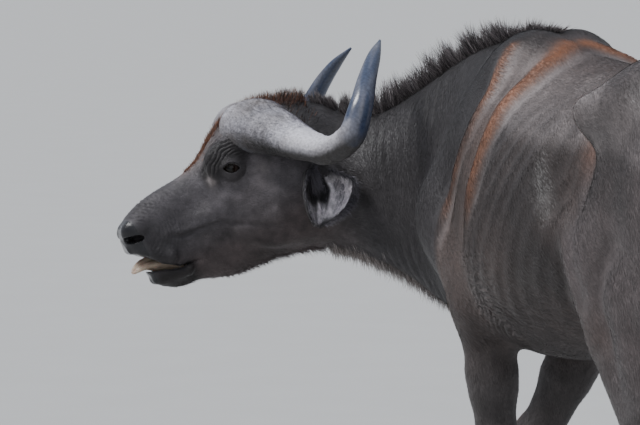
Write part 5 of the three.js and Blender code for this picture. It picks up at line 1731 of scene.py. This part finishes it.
def make_ear_hair(material):
    """Long hair round the ears' rims and pale tufts on the folds inside."""
    draw = np.random.default_rng(17)
    found = []
    for side in (1, -1):
        mirror = np.array((1, side, 1))
        for count, t, turned, grown, tone, inner in EAR_TUFTS:
            share = draw.uniform(*t, count)
            turned = draw.uniform(*turned, count)
            curl, outer, inner_radius = ear_shape(share)
            radius = (inner_radius + 0.5) if inner else (outer + inner_radius) / 2
            level = np.zeros(count)
            c, s = np.cos(turned * curl), np.sin(turned * curl)
            local = np.stack([share * EAR["length"], radius * s + ear_sweep(share), outer - radius * c], 1)
            outward = np.stack([level, c * np.sign(turned), s * np.sign(turned)], 1)
            if inner:
                aim = EAR_FORWARD * 0.9 + np.stack([level, -s, c], 1) * 0.4 - outward * 0.15
            else:
                aim = outward * 0.9 + EAR_FORWARD * 0.75
            aim = aim + draw.normal(size=aim.shape) * 0.16
            grown = draw.uniform(*grown, count) * (0.6 + 0.4 * np.sin(np.pi * share))
            shine = 1 if inner else np.where(draw.random(count) > 0.6, 3.2, 1)
            tone = tone * shine * (0.6 + 0.7 * draw.random(count))
            found.append((
                from_head((local @ EAR_BASIS.T + EAR_ROOT) * mirror),
                head_vectors(aim @ EAR_BASIS.T * mirror), grown, EAR_GREY * tone[:, None],
                np.stack([turned * 0.25 + 0.25 + 0.55 * (side > 0), share], 1)))
    root, aim, grown, colour, where = (np.concatenate(values) for values in zip(*found))
    grown_blades("ear_hair", root, aim, grown, 1.0, colour, where, material, draw, 0.22, 0.25)


def make_crown_hair(material):
    """Rusty hair down the forehead, between the horns and along the poll."""
    draw = np.random.default_rng(19)
    count = 6200
    a = -235 + 325 * draw.random(count)
    v = draw.normal(size=count) * np.interp(a, [-235, -175, -120, -60, 30, 90], [36, 48, 42, 15, 14, 10])
    top = np.interp(a, [-235, -175, -110, -80, 0, 60, 90], [70, 100, 128, 138, 120, 70, 50])
    root = from_head(from_slant(np.stack([a, v, top], 1)))
    up = slant_vectors((0, 0, 1))
    root = skin_level(root, np.tile(up, (count, 1)), 70) - 2 * up
    sideways = slant_vectors(np.stack([np.zeros(count), v / 40, np.zeros(count)], 1))
    aim = up * 0.75 + slant_vectors((-0.55, 0, 0)) + sideways * 0.5
    aim += draw.normal(size=root.shape) * 0.22
    grown = np.interp(a, [-235, -100, -60, 20, 90], [34, 28, 20, 15, 8]) * (0.5 + 0.7 * draw.random(count))
    colour = np.array((0.20, 0.088, 0.048)) * (0.45 + 0.9 * draw.random(count))[:, None]
    dark = draw.random(count) > np.interp(a, [-175, -120, 90], [0.35, 0.75, 0.8])
    colour[dark] = np.array((0.06, 0.048, 0.046)) * (0.6 + 0.8 * draw.random(dark.sum()))[:, None]
    where = np.stack([v / 200, a / 300], 1)
    grown_blades("crown_hair", root, aim, grown, 1.1, colour, where, material, draw, 0.35)


def make_tail_hair(material):
    """The dark switch at the end of the tail."""
    draw = np.random.default_rng(23)
    count = 4400
    z = 790 - 185 * draw.random(count) ** 0.8
    stops = TAIL_CURVE[::-1]
    x, y = (np.interp(z, stops[:, 2], stops[:, k]) for k in (0, 1))
    radius = np.interp(z, stops[:, 2], TAIL_RADII[::-1])
    angle = draw.random(count) * 2 * np.pi
    out = np.stack([np.cos(angle), np.sin(angle), np.zeros(count)], 1)
    root = np.stack([x, y, z], 1) + out * (radius * 0.8)[:, None]
    tip_level = 484 + 120 * draw.random(count) ** 1.6 + 0.25 * (z - 600)
    grown = z - tip_level
    share = np.linspace(0, 1, 7)[None, :, None]
    swell = (15 * np.sin(np.pi * share ** 0.8) - 10 * share) * (0.4 + 0.8 * draw.random(count))[:, None, None]
    stray = draw.normal(size=(count, 3)) * (5, 5, 0)
    spine = root[:, None] + np.array((0, 0, -1.0)) * grown[:, None, None] * share
    spine = spine + out[:, None] * swell + stray[:, None] * share ** 2
    across = np.cross(out, (0, 0, 1.0)) + 0.6 * draw.normal(size=out.shape)
    across = unit_rows(across)
    colour = np.array((0.030, 0.024, 0.022)) * (0.5 + 1.1 * draw.random(count))[:, None]
    spine = bent(spine.reshape(-1, 3)).reshape(spine.shape)
    where = np.stack([angle / 6.3, z / 400], 1)
    blades("tail_hair", spine, across, np.full(count, 1.5), colour, where, material)


def make_lashes(material):
    """Dark lashes along the upper lids."""
    draw = np.random.default_rng(29)
    found = []
    count = 130
    for side in (1, -1):
        mirror = np.array((1, side, 1))
        share = draw.uniform(-0.85, 0.9, count)
        x, z = share * FISSURE["half"], FISSURE["upper"] * (1 - share ** 2) + 1.5
        y = np.sqrt(np.maximum(1, LASH_RADIUS ** 2 - x ** 2 - z ** 2))
        root = from_head((np.stack([x, y, z], 1) + (0, EYE_SPREAD, 0)) * mirror)
        aim = np.stack([0.35 * share + 0.1, np.full(count, 1.0), np.full(count, -0.42)], 1)
        aim = head_vectors((aim + draw.normal(size=aim.shape) * 0.12) * mirror)
        found.append((root, aim, np.stack([share / 2 + 0.6 * side, draw.random(count)], 1)))
    root, aim, where = (np.concatenate(values) for values in zip(*found))
    grown = draw.uniform(7, 12, len(root))
    colour = np.tile((0.012, 0.010, 0.010), (len(root), 1))
    grown_blades("lashes", root, aim, grown, 0.6, colour, where, material, draw, 0.3)


# Pieces

def make_skin(material):
    """The skin over all the flesh, with its colour and wet places stored at its points."""
    points, faces = folded_skin()
    piece = mesh_piece("skin", points, faces, material, [
        "torso", "neck", "head", "ear_left", "ear_right", "tail", "tail_tuft", *LEGS])
    marks = marks_at(points)
    paint(piece, "marks", marks)
    measure(piece, "wet", wetness(to_slant(to_head(points))))
    return points, faces, marks


HORN_RINGS, HORN_SIDES = 150, 60
# the horn colours include painted shade for the undersides, a painted highlight for the tops and a painted
# blue sky reflection on the dark tip
HORN_GREY, HORN_BROWN, HORN_SHADE = (0.33, 0.32, 0.35), (0.13, 0.112, 0.10), (0.030, 0.027, 0.025)
HORN_TOP_HIGHLIGHT, HORN_TIP_AND_SKY_REFLECTION = (0.62, 0.61, 0.66), (0.044, 0.060, 0.104)


def horn_surface(side):
    """rings of points round a horn, the share of the way of each ring, and the angles round it"""
    stops = np.array([(a, side * v, n) for a, v, n, _, _ in HORN_PATH], float)
    path, share = curve_points(stops, HORN_RINGS)
    sizes = np.array([stop[3:] for stop in HORN_PATH], float)
    stations = np.linspace(0, 1, len(HORN_PATH))
    wide, thick = (through(list(zip(stations, size)))(share) for size in sizes.T)
    run = unit_rows(np.gradient(path, axis=0))
    first = unit_rows(np.array((1.0, 0, 0)) - run * run[:, :1])
    second = np.cross(run, first)
    dome = np.sqrt(1 - (1 - np.clip(share / 0.035, 0.04, 1)) ** 2)
    angle = np.arange(HORN_SIDES) / HORN_SIDES * 2 * np.pi
    around = (np.cos(angle)[None, :, None] * (wide * dome)[:, None, None] * first[:, None]
              + np.sin(angle)[None, :, None] * (thick * dome)[:, None, None] * second[:, None])
    return path[:, None] + around, share, angle


def horn_relief(rings, middle, share, angle):
    """rings with their crust, growth ridges and cracks, and the rise at each point"""
    arc = np.concatenate([[0], np.cumsum(length(np.diff(middle, axis=0)))])
    out = rings - middle[:, None]
    reach = np.maximum(np.sqrt((out ** 2).sum(2)), 0.5)
    out = out / reach[..., None]
    flat = rings.reshape(-1, 3)
    along = np.repeat(arc, HORN_SIDES)
    size = reach.ravel()
    fibre = np.stack([along * 0.13, np.tile(np.cos(angle), len(rings)) * size,
                      np.tile(np.sin(angle), len(rings)) * size], 1)
    rough = np.repeat(between(share, -0.2, 0.6, 0.14), HORN_SIDES)
    ridged = np.repeat(between(share, 0.2, 0.6, 0.16), HORN_SIDES)
    waves = furrows(along / 15 + 0.9 * noise(flat, 40, 72) + 0.35 * noise(flat, 13, 73))
    rise = rough * (2.6 * noise(flat, 46, 71) + 1.1 * noise(fibre, 6, 74) + 0.7 * noise(flat, 9, 75))
    rise += ridged * 1.5 * (waves - 0.6) * (0.6 + 0.6 * noise(flat, 28, 76))
    rise += (1 - rough) * 0.25 * noise(fibre, 7, 77)
    rise *= np.clip(size / 14, 0, 1)
    return rings + out * rise.reshape(rings.shape[:2])[..., None], rise, out, fibre


def make_horn(side, name, material):
    """A horn's sheath; returns its rings, outward directions, colour and shares for the hair on it."""
    rings, share, angle = horn_surface(side)
    rings, rise, out, fibre = horn_relief(rings, rings.mean(1), share, angle)
    placed_rings = from_head(rings)
    points, faces = tube(placed_rings)
    piece = mesh_piece(f"horn_sheath_{name}", points, faces, material, [f"horn_{name}"])
    t = np.repeat(share, HORN_SIDES)
    outward = head_vectors(out.reshape(-1, 3))
    flat = rings.reshape(-1, 3)
    polish = np.clip((t + 0.03 * noise(flat, 16, 78) - 0.57) / 0.10, 0, 1)
    colour = np.tile(HORN_GREY, (len(t), 1))
    colour = toned(colour, HORN_BROWN, 0.34 + 0.5 * noise(flat, 34, 79) + 0.25 * noise(flat, 8, 80))
    colour *= (1 + 0.22 * noise(fibre, 5, 81) + 0.10 * np.clip(rise, -2, 2))[:, None]
    # painted shade: the downward-facing side darkens from a tenth of the way along
    under = np.clip((-outward[:, 2] + 0.16 * noise(flat, 12, 82) + 0.14) / 0.46, 0, 1)
    under *= np.clip((t - 0.1) / 0.15, 0, 1)
    colour = toned(colour, HORN_SHADE, under * 0.9)
    # painted highlight: the upward-facing middle of the horn is paler
    lit = hump(t - 0.43, 0.16) * np.clip(outward[:, 2] + 0.4, 0, 1)
    colour = toned(colour, HORN_TOP_HIGHLIGHT, lit * 0.9)
    # the dark polished tip, its blue a painted reflection of the sky
    colour = toned(colour, HORN_TIP_AND_SKY_REFLECTION, polish * (0.92 + 0.3 * noise(fibre, 9, 83)))
    paint(piece, "marks", np.clip(np.concatenate([colour, colour[[0, -1]]]), 0.004, 1))
    measure(piece, "polish", np.concatenate([polish, polish[[0, -1]]]))
    return placed_rings, outward.reshape(rings.shape), colour.reshape(rings.shape), share


def make_boss_hair(side, name, horn, material):
    """Short grey hair on the broad base of a horn."""
    draw = np.random.default_rng(31 + side)
    rings, outward, colour, share = horn
    count = 7600
    row = np.clip((0.34 * draw.random(count) ** 0.8 + 0.015) * (len(share) - 1), 1, len(share) - 3)
    column = draw.random(count) * HORN_SIDES
    i, j = row.astype(int), column.astype(int) % HORN_SIDES
    f, g = (row - i)[:, None], (column - column.astype(int))[:, None]
    k = (j + 1) % HORN_SIDES
    before, after = (rings[ring, j] * (1 - g) + rings[ring, k] * g for ring in (i, i + 1))
    root = before * (1 - f) + after * f
    up = outward[i, j]
    lay = unit_rows(rings[i + 2, j] - rings[i, j] + 0.9 * draw.normal(size=root.shape))
    lay = unit_rows(flattened(lay, up))
    grown = (5 + 5 * draw.random(count)) * (1.15 - 0.9 * row / len(share))
    lift = (0.7 + 1.0 * draw.random(count))[:, None]
    spine = tuft_spine(root, lay * grown[:, None], up, lift)
    # the hair takes the horn's colour there, painted shade and highlight included
    tone = colour[i, j] * (0.75 + 0.6 * draw.random(count))[:, None]
    where = np.stack([column / HORN_SIDES, row / len(share)], 1)
    blades(f"boss_hair_{name}", spine, np.cross(up, lay), np.full(count, 1.0), tone, where, material)


EYE_RINGS, EYE_SIDES, EYE_POLE = 48, 64, 0.02
GAZE_HEADING, GAZE_PITCH = -14, -3
IRIS_RADIUS, PUPIL = 12.5, (7.5, 4)
EYE_WHITE, IRIS_BROWN, PUPIL_BLACK = (0.040, 0.028, 0.025), (0.010, 0.006, 0.004), (0.002, 0.002, 0.002)


def make_eye(side, name, material):
    """An eyeball with a slight cornea, dark brown iris and a long level pupil."""
    polar = np.linspace(EYE_POLE, np.pi - EYE_POLE, EYE_RINGS)[:, None]
    around = np.linspace(0, 2 * np.pi, EYE_SIDES, endpoint=False)
    bulge = 1.0 + 0.05 * np.exp(-(polar / 0.55) ** 2)
    depth = np.cos(polar) * bulge * np.ones(EYE_SIDES)
    local = np.stack([np.sin(polar) * np.cos(around), depth, np.sin(polar) * np.sin(around)], 2)
    local *= EYE_RADIUS - 0.2
    look = turn(Z_AXIS, GAZE_HEADING) @ turn(X_AXIS, GAZE_PITCH)
    points, faces = tube(from_head((local @ look.T) * (1, side, 1) + (0, side * EYE_SPREAD, 0)))
    piece = mesh_piece(f"eyeball_{name}", points, faces, material, [f"eye_{name}"])
    x, y, z = np.concatenate([local.reshape(-1, 3), [(0, 20, 0), (0, -20, 0)]]).T
    iris = (y > 0) & (np.hypot(x, z) < IRIS_RADIUS)
    pupil = (y > 0) & ((x / PUPIL[0]) ** 2 + (z / PUPIL[1]) ** 2 < 1)
    paint(piece, "marks", np.where(
        pupil[:, None], PUPIL_BLACK, np.where(iris[:, None], IRIS_BROWN, EYE_WHITE)))


CLAW = dict(length=122, width=54, height=86, cleft=2.5)
DEWCLAW = dict(base=15, shoulder=13, waist=20, length=40, behind=28, apart=24, drop=6)


def placed(rings, joint, lift=0.0):
    """rings of points set at a joint and turned with the spine there"""
    at = bent(np.array([[joint[0], joint[1], lift]]))[0]
    _, _, angle = spine_at(joint[0])
    return rings @ turn(Z_AXIS, math.degrees(angle)).T + at


def make_claw(leg_name, leg, side, material):
    """A rounded wedge of horn with a flat sole and a flat inner wall."""
    where = "outer" if side == leg["side"] else "inner"
    levels = np.concatenate([[0, 0.6, 2.5], np.linspace(6, CLAW["height"], 18)])
    size_at = through([(0, 1), (22, 1), (58, 0.9), (CLAW["height"], 0.78)])
    back_at = through([(0, 0), (22, -3), (58, -14), (CLAW["height"], -26)])
    angle = np.linspace(0, 2 * np.pi, 48, endpoint=False)
    rings = []
    for z in levels:
        size = size_at(z) - 0.035 * max(0, 1 - z / 2.5)
        c, s = np.cos(angle), np.sin(angle)
        pointed = np.where(c > 0, 1 - 0.42 * c * c, 1)
        wide = np.where(s < 0, 0.2, 1)
        across = CLAW["width"] * 0.78 * size * wide * s * pointed
        ring = np.stack([
            c * CLAW["length"] / 2 * size + back_at(z) + 14,
            side * (across + CLAW["width"] * 0.16 + CLAW["cleft"]),
            np.full(len(angle), z)], 1)
        rings.append(ring)
    points, faces = tube(placed(np.array(rings), leg["foot"]))
    mesh_piece(f"hoof_{leg_name}_{where}", points, faces, material, [f"claw_{leg_name}_{where}"])


def make_dewclaw(leg_name, leg, side, material):
    """A short blunt spur behind the fetlock."""
    where = "outer" if side == leg["side"] else "inner"
    base, tip = DEWCLAW["base"], DEWCLAW["length"]
    profile = through([
        (-4, base), (0, base), (DEWCLAW["waist"], DEWCLAW["shoulder"]), (tip * 0.85, 7), (tip, 1)])
    axis = unit((-0.62, side * 0.22, -0.75))
    first = unit(np.cross(axis, (0, 1, 0)))
    second = np.cross(axis, first)
    angle = np.linspace(0, 2 * np.pi, 24, endpoint=False)
    around = np.cos(angle)[:, None] * first + np.sin(angle)[:, None] * second
    rings = np.array([axis * h + profile(h) * around for h in np.linspace(-4, tip, 14)])
    rings += (-DEWCLAW["behind"], side * DEWCLAW["apart"], 0)
    points, faces = tube(placed(rings, leg["fetlock"], leg["fetlock"][2] - DEWCLAW["drop"]))
    mesh_piece(f"spur_{leg_name}_{where}", points, faces, material, [f"dewclaw_{leg_name}_{where}"])


TONGUE_PATH = [(72, 0, -204), (118, 0, -212), (158, 2, -213), (194, 6, -219), (224, 10, -242)]
TONGUE_TWIST = -58


def make_tongue(material):
    """The tongue, twisted on its way out of the mouth, with a groove along its top."""
    path, share = curve_points(TONGUE_PATH, 60)
    run = unit_rows(np.gradient(path, axis=0))
    up = np.stack([-run[:, 2], np.zeros(len(run)), run[:, 0]], 1)
    angle = np.linspace(0, 2 * np.pi, 48, endpoint=False)
    left = np.array((0, 1.0, 0))
    rings = []
    for p, u, t in zip(path, up, share):
        twist = math.radians(TONGUE_TWIST) * t ** 1.3
        half = mix(24, 20, t) * math.sqrt(max(0.02, 1 - t ** 4))
        thick = mix(8, 6, t) * math.sqrt(max(0.05, 1 - t ** 6))
        groove = 1 - 0.4 * np.exp(-(np.cos(angle) / 0.22) ** 2) * (np.sin(angle) > 0)
        wide = left * math.cos(twist) + u * math.sin(twist)
        high = u * math.cos(twist) - left * math.sin(twist)
        depth = thick * groove + 19 * min(1, max(0, (0.95 - t) / 0.35)) * (np.sin(angle) < 0)
        ring = p + high * (np.sin(angle) * depth)[:, None]
        rings.append(ring + wide * (np.cos(angle) * half)[:, None])
    points, faces = tube(from_head(np.array(rings)))
    mesh_piece("tongue_surface", points, faces, material, ["tongue"])


# Studio

CAMERA = dict(at=(-9.359, 2.695, 1.6), forward=(0.97633, -0.20753, -0.06094), lens_px=4450, image_px=640)


def make_camera():
    """The camera that the animal is measured through."""
    camera = bpy.data.objects.new("camera", bpy.data.cameras.new("camera"))
    bpy.context.scene.collection.objects.link(camera)
    camera.location = Vector(CAMERA["at"]) - Vector(LIFT * (0.001, 0.001, 0))
    camera.rotation_mode = "QUATERNION"
    camera.rotation_quaternion = Vector(CAMERA["forward"]).to_track_quat("-Z", "Y")
    camera.data.sensor_width = 36
    camera.data.lens = CAMERA["lens_px"] / CAMERA["image_px"] * camera.data.sensor_width
    camera.data.clip_end = 500
    bpy.context.scene.camera = camera


def make_studio():
    """Floor, sky and two lamps."""
    mesh = bpy.data.meshes.new("floor")
    reach = 250
    corners = [(-reach, -reach, 0), (reach, -reach, 0), (reach, reach, 0), (-reach, reach, 0)]
    mesh.from_pydata(corners, [], [(0, 1, 2, 3)])
    material, tree, shader = node_material("floor_paint", 0.8, 0.2)
    paint_tone = mixed(tree, noise_node(tree, 3, 2), (0.47, 0.47, 0.46, 1), (0.50, 0.50, 0.49, 1))
    tree.links.new(paint_tone, shader.inputs["Base Color"])
    mesh.materials.append(material)
    floor = bpy.data.objects.new("floor", mesh)
    bpy.context.scene.collection.objects.link(floor)
    world = bpy.data.worlds.new("studio")
    world.use_nodes = True
    sky = world.node_tree
    direction = linked(sky, "ShaderNodeTexCoord").outputs["Generated"]
    upward = linked(sky, "ShaderNodeSeparateXYZ", {0: direction}).outputs["Z"]
    height = ranged(sky, upward, -0.15, 0.95)
    sky.links.new(mixed(sky, height, (0.36, 0.37, 0.40, 1), (0.95, 1.03, 1.20, 1)),
                  sky.nodes["Background"].inputs["Color"])
    sky.nodes["Background"].inputs["Strength"].default_value = 0.62
    bpy.context.scene.world = world
    for name, towards, energy, spread in (
        ("key", (-0.02, -0.66, -0.90), 3.3, 20), ("fill", (0.95, 0.1, -0.5), 0.45, 60),
    ):
        light = bpy.data.lights.new(name, "SUN")
        light.energy = energy
        light.angle = math.radians(spread)
        lamp = bpy.data.objects.new(name, light)
        lamp.rotation_mode = "QUATERNION"
        lamp.rotation_quaternion = Vector(towards).to_track_quat("-Z", "Y")
        bpy.context.scene.collection.objects.link(lamp)


make_camera()
make_studio()
points, faces, marks = make_skin(hide_material())
make_coat(points, faces, marks, hair_material("short_hair", 3.2))
long_hair = hair_material("long_hair", 1.2)
for make_hair in (make_mane, make_fringes, make_ear_hair, make_crown_hair, make_tail_hair, make_lashes):
    make_hair(long_hair)
horn, claw, eye = horn_material(), claw_material(), eye_material()
for name, side in (("left", 1), ("right", -1)):
    make_boss_hair(side, name, make_horn(side, name, horn), long_hair)
    make_eye(side, name, eye)
for name, leg in LEGS.items():
    for side in (1, -1):
        make_claw(name, leg, side, claw)
        make_dewclaw(name, leg, side, claw)
make_tongue(tongue_material())
